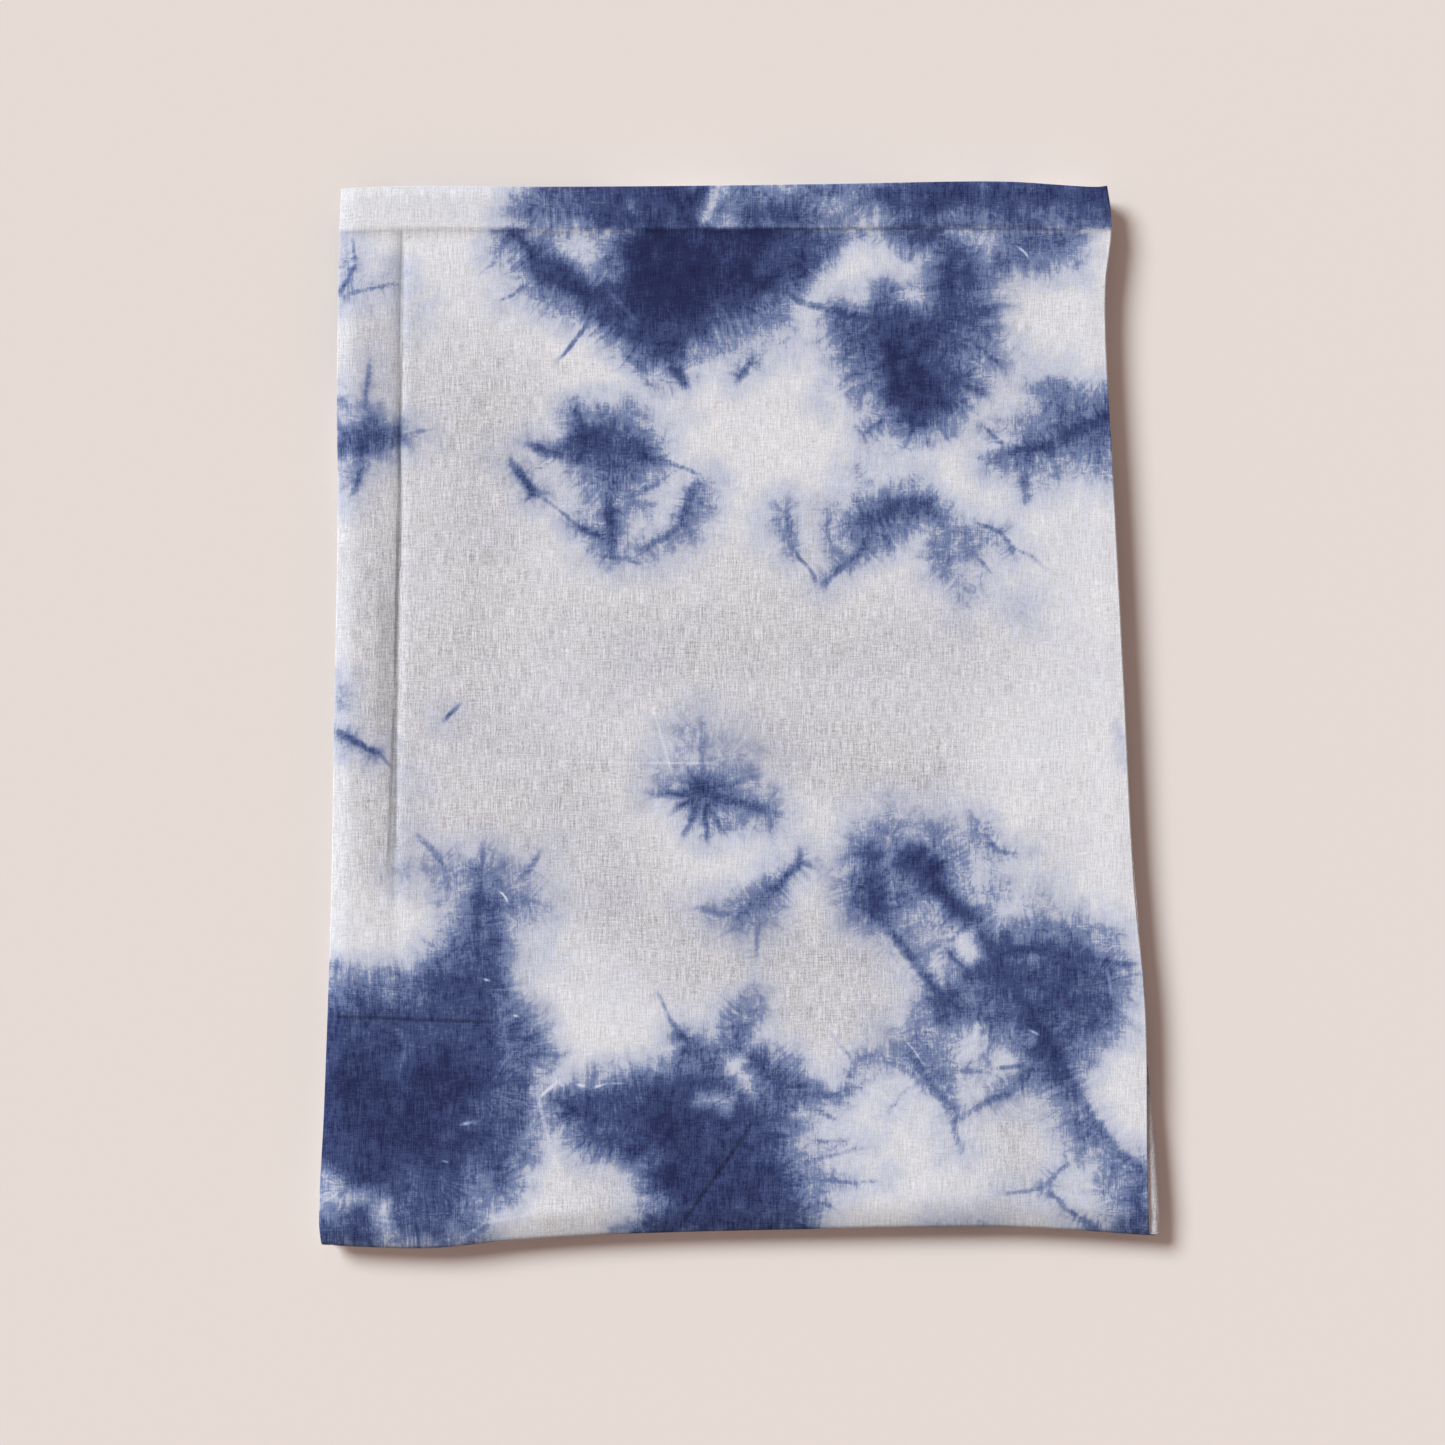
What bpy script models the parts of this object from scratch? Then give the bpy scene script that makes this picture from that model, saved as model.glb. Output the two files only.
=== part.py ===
"""A length of thin tie-dyed cotton, folded back and forth into a flat pack that lies on a table.

The pack lies flat on its lowest layer. +X runs to its right, +Y to its back edge and +Z up. Seven layers
lie on each other, joined by round folds at the front and back edges by turns. The cloth is first folded
in four along its length, so one layer here stands for four plies of voile lying together.
Sizes are in millimetres until the mesh is written.
"""

import math
from typing import NamedTuple

import bmesh
import bpy
from mathutils import Matrix, Vector

MM = 0.001

# Driving sizes
LAYERS = 7
LAYER_THICK = 1.1
LAYER_PITCH = 1.7
FOLD_STEPS = 5
STRIP_WIDTH = 22.0  # the rolled fold along the left edge, out to the crease beside it
BAND_DEPTH = 15.0  # the doubled band along the back edge
CLOTH_COLOUR = (0.62, 0.66, 0.78, 1.0)
CLOTH_ROUGHNESS = 0.9
SMOOTH_ANGLE = math.radians(50)


class EdgePoint(NamedTuple):
    """A point of the pack's outline: its place along the edge, and how far out from the middle it lies."""

    along: float
    out: float


class Layer(NamedTuple):
    """How far in from the outline a layer's edges lie, and the fold that joins it to the layer below."""

    left: float
    right: float
    fold: float


LEFT_EDGE = (
    EdgePoint(along=-185.5, out=-146.5),
    EdgePoint(along=-173.0, out=-147.9),
    EdgePoint(along=-134.5, out=-146.1),
    EdgePoint(along=-64.5, out=-143.7),
    EdgePoint(along=5.5, out=-142.5),
    EdgePoint(along=75.5, out=-141.2),
    EdgePoint(along=110.5, out=-141.6),
    EdgePoint(along=170.0, out=-140.7),
    EdgePoint(along=186.0, out=-140.0),
)
RIGHT_EDGE = (
    EdgePoint(along=-185.0, out=143.0),
    EdgePoint(along=-163.5, out=142.3),
    EdgePoint(along=-102.0, out=141.4),
    EdgePoint(along=-57.0, out=137.3),
    EdgePoint(along=10.0, out=133.9),
    EdgePoint(along=87.5, out=129.9),
    EdgePoint(along=130.0, out=127.6),
    EdgePoint(along=152.0, out=127.5),
    EdgePoint(along=171.0, out=129.6),
    EdgePoint(along=186.0, out=127.9),
)
BACK_EDGE = (
    EdgePoint(along=-140.0, out=184.9),
    EdgePoint(along=-117.0, out=185.7),
    EdgePoint(along=-70.0, out=185.5),
    EdgePoint(along=-7.5, out=185.9),
    EdgePoint(along=34.0, out=186.5),
    EdgePoint(along=90.5, out=187.3),
    EdgePoint(along=123.5, out=185.4),
    EdgePoint(along=129.0, out=186.0),
)
FRONT_EDGE = (
    EdgePoint(along=-147.0, out=-185.5),
    EdgePoint(along=-110.5, out=-186.6),
    EdgePoint(along=-83.0, out=-184.1),
    EdgePoint(along=-42.0, out=-181.7),
    EdgePoint(along=30.0, out=-179.9),
    EdgePoint(along=86.0, out=-179.1),
    EdgePoint(along=114.0, out=-180.2),
    EdgePoint(along=143.0, out=-182.2),
)

# From the lowest layer, whose fold is its free end, to the top one
LAYER_TABLE = (
    Layer(left=1.5, right=1.2, fold=1.4),
    Layer(left=0.6, right=2.2, fold=1.0),
    Layer(left=1.8, right=0.4, fold=0.9),
    Layer(left=0.9, right=1.6, fold=1.7),
    Layer(left=1.4, right=0.9, fold=1.3),
    Layer(left=0.8, right=0.3, fold=0.8),
    Layer(left=0.0, right=0.0, fold=0.0),
)
EDGE_PLAY = 15.0  # how wide a strip along its edges a layer is narrowed or widened in
SPILL_OUT = 4.0  # how far the layer under the top one comes out at the front right corner
SPILL_LONG = 75.0
SPILL_FULL = 6.0

# How far the top of the pack dips, which takes up the slack between all the layers
EDGE_DROOP = 1.1
EDGE_DROOP_WIDTH = 6.0
BACK_DROOP = 0.55
BACK_DROOP_WIDTH = 3.6
FRONT_DROOP = 1.45
FRONT_DROOP_WIDTH = 11.0
FRONT_DROOP_FROM = -100.0  # the front edge stands up left of here, with the least share of its droop
FRONT_DROOP_FULL = -66.0
FRONT_DROOP_LEAST = 0.35
STRIP_DIP = 1.3
STRIP_SLOPE = 13.0
STRIP_RISE = 2.0
STRIP_FADE_START = -20.0
STRIP_FADE_END = -95.0
SWELL = 0.22  # a slow unevenness of the whole pack, in waves that run aslant
SWELL_X = 31.0
SWELL_X_SLANT = 53.0
SWELL_Y = 37.0
SWELL_Y_SLANT = 71.0
MOST_DIP = 1.6

# The step down from the band, in the top layer alone
BAND_STEP = 0.3
BAND_SHARP = 1.6
BAND_RECOVER = 16.0
BAND_FADE = 29.0  # the crease beside the rolled edge is at its full depth this far from the back edge

# Rows and columns of the mesh, as distances in from the edges with even steps between them
TOP_NEAR_BACK = (0.0, 3.0, 8.0, BAND_DEPTH - 1.2, BAND_DEPTH, BAND_DEPTH + BAND_SHARP, 21.0, BAND_FADE)
TOP_NEAR_FRONT = (18.0, 11.0, 6.0, 2.5, 0.0)
TOP_MIDDLE_ROWS = 9
NEAR_BACK = (0.0, 4.0, BAND_DEPTH, BAND_FADE)
NEAR_FRONT = (12.0, 5.0, 0.0)
MIDDLE_ROWS = 6
NEAR_LEFT = (0.0, 2.0, 6.0, 11.0, 17.0, 20.5, STRIP_WIDTH, STRIP_WIDTH + STRIP_RISE, 30.0)
NEAR_RIGHT = (10.0, 5.0, 2.0, 0.0)
MIDDLE_COLUMNS = 5


def smooth_step(low, high, value):
    """0 at low, 1 at high and an even S between them. Low may be the larger."""
    t = min(1.0, max(0.0, (value - low) / (high - low)))
    return t * t * (3.0 - 2.0 * t)


def edge_at(edge, along):
    """The outline's place at a point along it, on a smooth curve through the edge's points."""
    last = len(edge) - 2
    i = next((n for n in range(last) if along < edge[n + 1].along), last)
    a, b = edge[i], edge[i + 1]
    before, after = edge[max(i - 1, 0)], edge[min(i + 2, len(edge) - 1)]
    span = b.along - a.along
    slope_a = (b.out - before.out) / (b.along - before.along) * span
    slope_b = (after.out - a.out) / (after.along - a.along) * span
    t = min(1.0, max(0.0, (along - a.along) / span))
    rest = 1.0 - t
    return (
        a.out * rest * rest * (1.0 + 2.0 * t)
        + b.out * t * t * (3.0 - 2.0 * t)
        + slope_a * t * rest * rest
        - slope_b * t * t * rest
    )


def stations(near_start, near_end, middle, length):
    """Fractions of a length: given distances in from both ends, and even steps between them."""
    first, last = near_start[-1] / length, 1.0 - near_end[0] / length
    even = [first + (last - first) * n / (middle + 1) for n in range(1, middle + 1)]
    return [d / length for d in near_start] + even + [1.0 - d / length for d in near_end]


def trough(distance, width):
    """1 in the middle of a trough, falling to 0 a width away."""
    return 1.0 - smooth_step(0.0, width, abs(distance))


def dip(x, y):
    """How far the top of the pack lies under its full height at a point."""
    from_left = max(0.0, x - edge_at(LEFT_EDGE, y))
    from_right = max(0.0, edge_at(RIGHT_EDGE, y) - x)
    from_back = max(0.0, edge_at(BACK_EDGE, x) - y)
    from_front = max(0.0, y - edge_at(FRONT_EDGE, x))
    sides = EDGE_DROOP * (trough(from_left, EDGE_DROOP_WIDTH) + trough(from_right, EDGE_DROOP_WIDTH))
    back = BACK_DROOP * trough(from_back, BACK_DROOP_WIDTH)
    more = (1.0 - FRONT_DROOP_LEAST) * smooth_step(FRONT_DROOP_FROM, FRONT_DROOP_FULL, x)
    front = FRONT_DROOP * (FRONT_DROOP_LEAST + more) * trough(from_front, FRONT_DROOP_WIDTH)
    past_crease = from_left - STRIP_WIDTH
    strip_width = STRIP_RISE if past_crease > 0 else STRIP_SLOPE
    fade = smooth_step(STRIP_FADE_END, STRIP_FADE_START, y) * smooth_step(BAND_DEPTH, BAND_FADE, from_back)
    strip = STRIP_DIP * trough(past_crease, strip_width) * fade
    waves = math.sin(x / SWELL_X + y / SWELL_X_SLANT) * math.cos(y / SWELL_Y - x / SWELL_Y_SLANT)
    return min(MOST_DIP, sides + back + front + strip + SWELL * (1.0 + waves))


def band_step(x, y):
    """How far the top layer steps down from the band along its back edge."""
    past_band = edge_at(BACK_EDGE, x) - y - BAND_DEPTH
    down = smooth_step(0.0, BAND_SHARP, past_band) - smooth_step(BAND_SHARP, BAND_RECOVER, past_band)
    return BAND_STEP * down


def middle_height(layer, x, y):
    """The height of a layer's middle surface at a point."""
    pitch = LAYER_PITCH - dip(x, y) / (LAYERS - 1)
    step = band_step(x, y) if layer == LAYERS - 1 else 0.0
    return LAYER_THICK / 2.0 + layer * pitch - step


def across_at(across, down, layer):
    """The place in X of a layer's point, from its fractions of the way across and down the pack."""
    y = edge_at(BACK_EDGE, 0.0) * (1.0 - down) + edge_at(FRONT_EDGE, 0.0) * down
    left, right = edge_at(LEFT_EDGE, y), edge_at(RIGHT_EDGE, y)
    x = left * (1.0 - across) + right * across
    left_in, right_in = LAYER_TABLE[layer].left, LAYER_TABLE[layer].right
    if layer == LAYERS - 2:
        front = edge_at(FRONT_EDGE, 0.0)
        right_in -= SPILL_OUT * smooth_step(front + SPILL_LONG, front + SPILL_FULL, y)
    return x + left_in * trough(x - left, EDGE_PLAY) - right_in * trough(right - x, EDGE_PLAY)


def flat_end(x, layer, at_front):
    """The place in Y where a layer's flat part ends, at a fold or at the cloth's own end."""
    edge = edge_at(FRONT_EDGE if at_front else BACK_EDGE, x)
    goes_under = (layer % 2 == 0) == at_front
    upper = layer if goes_under else layer + 1
    inset = LAYER_TABLE[upper].fold if upper < LAYERS else 0.0
    if 0 < upper < LAYERS:
        inset += (LAYER_PITCH + LAYER_THICK) / 2.0
    return edge + inset if at_front else edge - inset


def layer_rows(layer, across_stations):
    """A layer's rows of points, from back to front."""
    length = edge_at(BACK_EDGE, 0.0) - edge_at(FRONT_EDGE, 0.0)
    if layer == LAYERS - 1:
        down_stations = stations(TOP_NEAR_BACK, TOP_NEAR_FRONT, TOP_MIDDLE_ROWS, length)
    else:
        down_stations = stations(NEAR_BACK, NEAR_FRONT, MIDDLE_ROWS, length)
    rows = []
    for down in down_stations:
        row = []
        for across in across_stations:
            x = across_at(across, down, layer)
            y = flat_end(x, layer, False) * (1.0 - down) + flat_end(x, layer, True) * down
            row.append(Vector((x, y, middle_height(layer, x, y))))
        rows.append(row)
    return rows


def fold_rows(upper_row, lower_row, at_front):
    """The rows of points round a fold, between the last row of one layer and the first of the next."""
    outward = -1.0 if at_front else 1.0
    rows = []
    for step in range(1, FOLD_STEPS):
        turn = math.pi * step / FOLD_STEPS
        row = []
        for upper, lower in zip(upper_row, lower_row, strict=True):
            middle = (upper + lower) / 2.0
            half = (upper - lower) / 2.0
            reach = Vector((0.0, outward * half.z, 0.0))
            row.append(middle + half * math.cos(turn) + reach * math.sin(turn))
        rows.append(row)
    return rows


def cloth_rows():
    """Every row of points of the cloth's middle surface, from the top layer's back end to the lowest
    layer's front end."""
    width = edge_at(RIGHT_EDGE, 0.0) - edge_at(LEFT_EDGE, 0.0)
    across_stations = stations(NEAR_LEFT, NEAR_RIGHT, MIDDLE_COLUMNS, width)
    rows = []
    for layer in reversed(range(LAYERS)):
        towards_front = layer % 2 == 0
        found = layer_rows(layer, across_stations)
        found = found if towards_front else found[::-1]
        if rows:
            rows += fold_rows(rows[-1], found[0], not towards_front)
        rows += found
    return rows


def cloth_material():
    """Dyed cotton in one mean colour."""
    material = bpy.data.materials.new("dyed_cotton")
    material.use_nodes = True
    shader = material.node_tree.nodes["Principled BSDF"]
    shader.inputs["Base Color"].default_value = CLOTH_COLOUR
    shader.inputs["Roughness"].default_value = CLOTH_ROUGHNESS
    shader.inputs["Metallic"].default_value = 0.0
    return material


def set_on_origin(cloth):
    """Moves the mesh so that the thickened cloth stands on z = 0, its box centred on the origin in plan."""
    shape = cloth.evaluated_get(bpy.context.evaluated_depsgraph_get())
    corners = [Vector(corner) for corner in shape.bound_box]
    lowest = Vector(map(min, zip(*corners, strict=True)))
    highest = Vector(map(max, zip(*corners, strict=True)))
    middle = (lowest + highest) / 2.0
    middle.z = lowest.z
    cloth.data.transform(Matrix.Translation(-middle))


def make_cloth():
    """The folded cloth: its middle surface, thickened both ways."""
    mesh = bpy.data.meshes.new("folded_cloth")
    grid = bmesh.new()
    vertices = [[grid.verts.new(point * MM) for point in row] for row in cloth_rows()]
    for above, below in zip(vertices, vertices[1:]):
        for n in range(len(above) - 1):
            grid.faces.new((above[n], below[n], below[n + 1], above[n + 1]))
    grid.to_mesh(mesh)
    grid.free()
    mesh.materials.append(cloth_material())
    cloth = bpy.data.objects.new("folded_cloth", mesh)
    bpy.context.scene.collection.objects.link(cloth)
    thicken = cloth.modifiers.new("thickness", "SOLIDIFY")
    thicken.thickness = LAYER_THICK * MM
    thicken.offset = 0.0
    thicken.use_even_offset = True
    thicken.use_rim = True
    mesh.shade_smooth()
    mesh.set_sharp_from_angle(angle=SMOOTH_ANGLE)
    set_on_origin(cloth)


def main():
    for old in list(bpy.data.objects):
        bpy.data.objects.remove(old)
    make_cloth()


main()
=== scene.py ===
"""A folded length of thin tie-dyed cotton on a pale table, seen from straight above.

The cloth is one thin sheet with its real folds: four plies folded side to side, and that strip folded
back and forth seven times from front to back. Its dye lies on it as attributes, worked out from a table
of marks, together with painted shade and light at its creases and edges and grey painted shade where the
ply is sheer, and the material adds the threads. Sizes are in millimetres until the mesh is written, in
the pack's own frame: +X to the right, +Y to the back edge and +Z up.
"""

import math
from typing import NamedTuple

import bpy
import numpy as np
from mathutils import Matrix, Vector


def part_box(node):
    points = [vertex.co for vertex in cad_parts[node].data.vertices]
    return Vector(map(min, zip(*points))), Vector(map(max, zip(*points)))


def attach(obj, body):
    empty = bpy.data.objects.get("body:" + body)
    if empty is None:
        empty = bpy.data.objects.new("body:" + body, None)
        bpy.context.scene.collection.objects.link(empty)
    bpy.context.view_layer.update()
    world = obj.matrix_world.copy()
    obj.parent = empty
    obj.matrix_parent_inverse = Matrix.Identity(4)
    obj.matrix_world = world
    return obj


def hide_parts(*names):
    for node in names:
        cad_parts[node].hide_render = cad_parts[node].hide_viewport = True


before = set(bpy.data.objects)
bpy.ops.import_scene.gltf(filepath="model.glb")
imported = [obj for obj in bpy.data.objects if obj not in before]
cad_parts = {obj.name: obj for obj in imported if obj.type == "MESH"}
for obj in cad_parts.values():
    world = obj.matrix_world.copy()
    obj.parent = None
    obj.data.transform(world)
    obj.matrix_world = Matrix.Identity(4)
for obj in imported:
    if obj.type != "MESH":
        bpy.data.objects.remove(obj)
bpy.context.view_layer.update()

bl_info = {
    "name": "Folded tie-dyed cotton",
    "version": (1, 0, 0),
    "blender": (4, 5, 0),
    "location": "3D View > Sidebar > Cloth",
    "description": "Makes a folded length of thin tie-dyed cotton and the table that it lies on",
    "category": "Add Mesh",
}

MM = 0.001
CAD_NODE = "folded_cloth"
CAD_LOW, CAD_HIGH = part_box(CAD_NODE)

# The folding
LAYERS = 7
PLIES = 4
LAYER_THICK = 1.1
LAYER_PITCH = 1.7
PLY_PITCH = 0.3
PLY_THICK = 0.17
INNER_FOLD_IN = 21.0  # how far the fold between the third and fourth ply lies from the left edge
BAND_DEPTH = 15.0
STRIP_WIDTH = 22.0


def table(kind, *rows, **same):
    """Rows of one kind, in the order of its columns, with any column that is the same in all of them."""
    return tuple(kind(*row, **same) for row in rows)


class EdgePoint(NamedTuple):
    """A point of the pack's outline: its place along the edge, and how far out from the middle it lies."""

    along: float
    out: float


class Layer(NamedTuple):
    """How far in from the outline a layer's edges lie, and the fold that joins it to the layer below."""

    left: float
    right: float
    fold: float


LEFT_EDGE = table(
    EdgePoint,
    (-185.5, -146.5),
    (-173.0, -147.9),
    (-134.5, -146.1),
    (-64.5, -143.7),
    (5.5, -142.5),
    (75.5, -141.2),
    (110.5, -141.6),
    (170.0, -140.7),
    (186.0, -140.0),
)
RIGHT_EDGE = table(
    EdgePoint,
    (-185.0, 143.0),
    (-163.5, 142.3),
    (-102.0, 141.4),
    (-57.0, 137.3),
    (10.0, 133.9),
    (87.5, 129.9),
    (130.0, 127.6),
    (152.0, 127.5),
    (171.0, 129.6),
    (186.0, 127.9),
)
BACK_EDGE = table(
    EdgePoint,
    (-140.0, 184.9),
    (-117.0, 185.7),
    (-70.0, 185.5),
    (-7.5, 185.9),
    (34.0, 186.5),
    (90.5, 187.3),
    (123.5, 185.4),
    (129.0, 186.0),
)
FRONT_EDGE = table(
    EdgePoint,
    (-147.0, -185.5),
    (-110.5, -186.6),
    (-83.0, -184.1),
    (-42.0, -181.7),
    (30.0, -179.9),
    (86.0, -179.1),
    (114.0, -180.2),
    (143.0, -182.2),
)
# From the lowest layer, whose fold is its free end, to the top one
LAYER_TABLE = table(
    Layer,
    (1.5, 1.2, 1.4),
    (0.6, 2.2, 1.0),
    (1.8, 0.4, 0.9),
    (0.9, 1.6, 1.7),
    (1.4, 0.9, 1.3),
    (0.8, 0.3, 0.8),
    (0.0, 0.0, 0.0),
)
EDGE_PLAY = 15.0  # how far in from the outline the lower layers' narrower edges shift the cloth
SPILL_OUT = 4.0  # how far the second layer spills out at the front right
SPILL_LONG = 75.0  # from the front edge, where it begins and where it is full
SPILL_FULL = 6.0

# How far the top of the pack dips, which takes up the slack between all the layers
EDGE_DROOP = 1.1
RIGHT_DROOP = 0.4
EDGE_DROOP_WIDTH = 6.0
BACK_DROOP = 0.55
BACK_DROOP_WIDTH = 3.6
FRONT_DROOP = 1.45
FRONT_DROOP_WIDTH = 11.0
FRONT_DROOP_FROM = -100.0
FRONT_DROOP_FULL = -66.0
FRONT_DROOP_LEAST = 0.35
STRIP_DIP = 0.75
STRIP_SLOPE = 13.0
STRIP_NIP = 0.1  # the narrow nip right at the crease
STRIP_NIP_SLOPE = 3.2
STRIP_RISE = 3.0
STRIP_FADE_START = -20.0
STRIP_FADE_END = -95.0
SWELL = 0.22
SWELL_X = 31.0
SWELL_X_SLANT = 53.0
SWELL_Y = 37.0
SWELL_Y_SLANT = 71.0
MOST_DIP = 1.6
BAND_STEP = 0.38  # down from the doubled band, over a sharp edge, and back up in front of it
BAND_SHARP = 1.1
BAND_RECOVER = 16.0
BAND_FADE = 29.0  # from the back edge, where the crease beside the rolled edge is at its full depth
PLY_SAG = 0.42  # how much lower the hidden plies of the top layer lie away from its edges
PLY_SAG_FROM = 3.0
PLY_SAG_FULL = 12.0

# The mesh's spacing: fine over the top panel, coarse where the cloth is hidden
FINE_STEP = 2.0
FINE_EDGE_STEP = 0.45
COARSE_STEP = 34.0
COARSE_EDGE_STEP = 2.0
HIDDEN_STEP = COARSE_STEP * 1.6  # from front to back in the layers under the top one
HIDDEN_EDGE_STEP = COARSE_EDGE_STEP * 1.5
END_GROWTH = 0.3  # how fast the spacing grows away from an end, and from a zone
ZONE_GROWTH = 0.35
CREASE_ZONE = (STRIP_WIDTH + 1.0,)
FOLD_TURNS = 6
ROLL_TURNS = 4


def smooth_step(low, high, value):
    """0 at low, 1 at high and an even S between them. Low may be the larger."""
    t = np.clip((value - low) / (high - low), 0.0, 1.0)
    return t * t * (3.0 - 2.0 * t)


def trough(distance, width):
    """1 in the middle of a trough, falling to 0 a width away."""
    return 1.0 - smooth_step(0.0, width, np.abs(distance))


def edge_at(edge, along):
    """The outline's place at points along it, on a smooth curve through the edge's points."""
    at = np.array([p.along for p in edge])
    out = np.array([p.out for p in edge])
    i = np.clip(np.searchsorted(at, along, side="right") - 1, 0, len(edge) - 2)
    before, after = np.maximum(i - 1, 0), np.minimum(i + 2, len(edge) - 1)
    span = at[i + 1] - at[i]
    slope_a = (out[i + 1] - out[before]) / (at[i + 1] - at[before]) * span
    slope_b = (out[after] - out[i]) / (at[after] - at[i]) * span
    t = np.clip((along - at[i]) / span, 0.0, 1.0)
    rest = 1.0 - t
    ends = out[i] * rest * rest * (1.0 + 2.0 * t) + out[i + 1] * t * t * (3.0 - 2.0 * t)
    return ends + slope_a * t * rest * rest - slope_b * t * t * rest


def strip_fade(y):
    """How far the crease beside the rolled edge keeps its depth, as it fades out towards the front."""
    return smooth_step(STRIP_FADE_END, STRIP_FADE_START, y)


def reach_in(distance, reach):
    """1 at a distance of 0 or less, falling evenly to 0 at a reach."""
    return np.clip(1.0 - distance / reach, 0.0, 1.0)


def dip(x, y):
    """How far the top of the pack lies under its full height at points."""
    from_left = np.maximum(0.0, x - edge_at(LEFT_EDGE, y))
    from_right = np.maximum(0.0, edge_at(RIGHT_EDGE, y) - x)
    from_back = np.maximum(0.0, edge_at(BACK_EDGE, x) - y)
    from_front = np.maximum(0.0, y - edge_at(FRONT_EDGE, x))
    sides = EDGE_DROOP * trough(from_left, EDGE_DROOP_WIDTH)
    sides = sides + RIGHT_DROOP * trough(from_right, EDGE_DROOP_WIDTH)
    back = BACK_DROOP * trough(from_back, BACK_DROOP_WIDTH)
    more = (1.0 - FRONT_DROOP_LEAST) * smooth_step(FRONT_DROOP_FROM, FRONT_DROOP_FULL, x)
    front = FRONT_DROOP * (FRONT_DROOP_LEAST + more) * trough(from_front, FRONT_DROOP_WIDTH)
    past_crease = from_left - STRIP_WIDTH
    fade = strip_fade(y) * smooth_step(BAND_DEPTH, BAND_FADE, from_back)
    slope = STRIP_DIP * reach_in(-past_crease, STRIP_SLOPE) ** 2
    nip = STRIP_NIP * reach_in(-past_crease, STRIP_NIP_SLOPE) ** 2
    rise = (STRIP_DIP + STRIP_NIP) * trough(past_crease, STRIP_RISE)
    strip = np.where(past_crease > 0, rise, slope + nip) * fade
    waves = np.sin(x / SWELL_X + y / SWELL_X_SLANT) * np.cos(y / SWELL_Y - x / SWELL_Y_SLANT)
    return np.minimum(MOST_DIP, sides + back + front + strip + SWELL * (1.0 + waves))


def band_step(x, y):
    """How far the top layer steps down from the band along its back edge."""
    past_band = edge_at(BACK_EDGE, x) - y - BAND_DEPTH
    down = smooth_step(0.0, BAND_SHARP, past_band) - smooth_step(BAND_SHARP, BAND_RECOVER, past_band)
    return BAND_STEP * down


class Ridge(NamedTuple):
    """A soft crease in the top ply from one point to another: its height, negative for a trough."""

    x0: float
    y0: float
    x1: float
    y1: float
    width: float
    height: float


RIDGES = table(
    Ridge,
    (-101.0, -187.0, -77.0, -174.0, 4.0, 0.3),
    (-79.0, -175.5, -48.0, -173.0, 3.6, 0.3),
    (-146.0, -104.5, -84.0, -107.0, 1.3, -0.22),
    (-23.0, -181.0, 6.0, -140.0, 2.2, -0.26),
    (-148.0, -169.5, -128.0, -168.0, 3.0, 0.22),
    (93.0, 117.0, 128.0, 105.0, 5.0, -0.18),
    (110.0, -128.0, 141.0, -160.0, 4.0, -0.16),
    (40.0, -60.0, 90.0, -82.0, 7.0, 0.14),
    (-119.0, -30.0, -121.0, -150.0, 3.0, -0.18),
)


RIDGE_IN = (-0.05, 0.3)  # the shares of a ridge's length over which it rises, and over which it sinks
RIDGE_OUT = (1.05, 0.7)


def ridge_height(x, y):
    """The height that the creases add to the top ply at points."""
    total = np.zeros_like(x)
    for ridge in RIDGES:
        run_x, run_y = ridge.x1 - ridge.x0, ridge.y1 - ridge.y0
        length = math.hypot(run_x, run_y)
        share = ((x - ridge.x0) * run_x + (y - ridge.y0) * run_y) / length**2
        off = ((x - ridge.x0) * run_y - (y - ridge.y0) * run_x) / length
        along = smooth_step(*RIDGE_IN, share) * smooth_step(*RIDGE_OUT, share)
        total += ridge.height * along * trough(off, ridge.width)
    return total


def flat_end(x, layer, at_front):
    """The place in Y where a layer's flat part ends, at a fold or at the cloth's own end."""
    edge = edge_at(FRONT_EDGE if at_front else BACK_EDGE, x)
    goes_under = (layer % 2 == 0) == at_front
    upper = layer if goes_under else layer + 1
    inset = LAYER_TABLE[upper].fold if upper < LAYERS else 0.0
    if 0 < upper < LAYERS:
        inset += (LAYER_PITCH + LAYER_THICK) / 2.0
    return edge + inset if at_front else edge - inset


class Columns(NamedTuple):
    """The sheet's columns: where each lies across the pack, its place in its layer, and its ply."""

    across: np.ndarray
    out: np.ndarray
    lift: np.ndarray
    ply: np.ndarray


def spaced(length, step, edge_step, zones=()):
    """Distances from 0 to a length, close together at both ends and near each zone."""
    found = [0.0]
    while found[-1] < length:
        at = found[-1]
        to_end = min(at, length - at)
        near_zones = [edge_step + ZONE_GROWTH * abs(at - zone) for zone in zones]
        found.append(at + min(step, edge_step + END_GROWTH * to_end, *near_zones))
    return np.array(found) * (length / found[-1])


def mean_width():
    """The pack's width half way down."""
    return float(edge_at(RIGHT_EDGE, 0.0) - edge_at(LEFT_EDGE, 0.0))


def mean_length():
    """The pack's length half way across."""
    return float(edge_at(BACK_EDGE, 0.0) - edge_at(FRONT_EDGE, 0.0))


def flat_columns(ply, step, edge_step, zones=()):
    """The columns of one ply between its folds, in the direction in which the cloth runs."""
    width = mean_width()
    start = INNER_FOLD_IN if ply >= 2 else 0.0
    from_left = start + spaced(width - start, step, edge_step, [z - start for z in zones])
    across = from_left / width
    if ply % 2 == 0:
        across = across[::-1]
    lift = np.full(len(across), PLY_PITCH * ((PLIES - 1) / 2.0 - ply))
    return Columns(across, np.zeros(len(across)), lift, np.full(len(across), ply))


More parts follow.
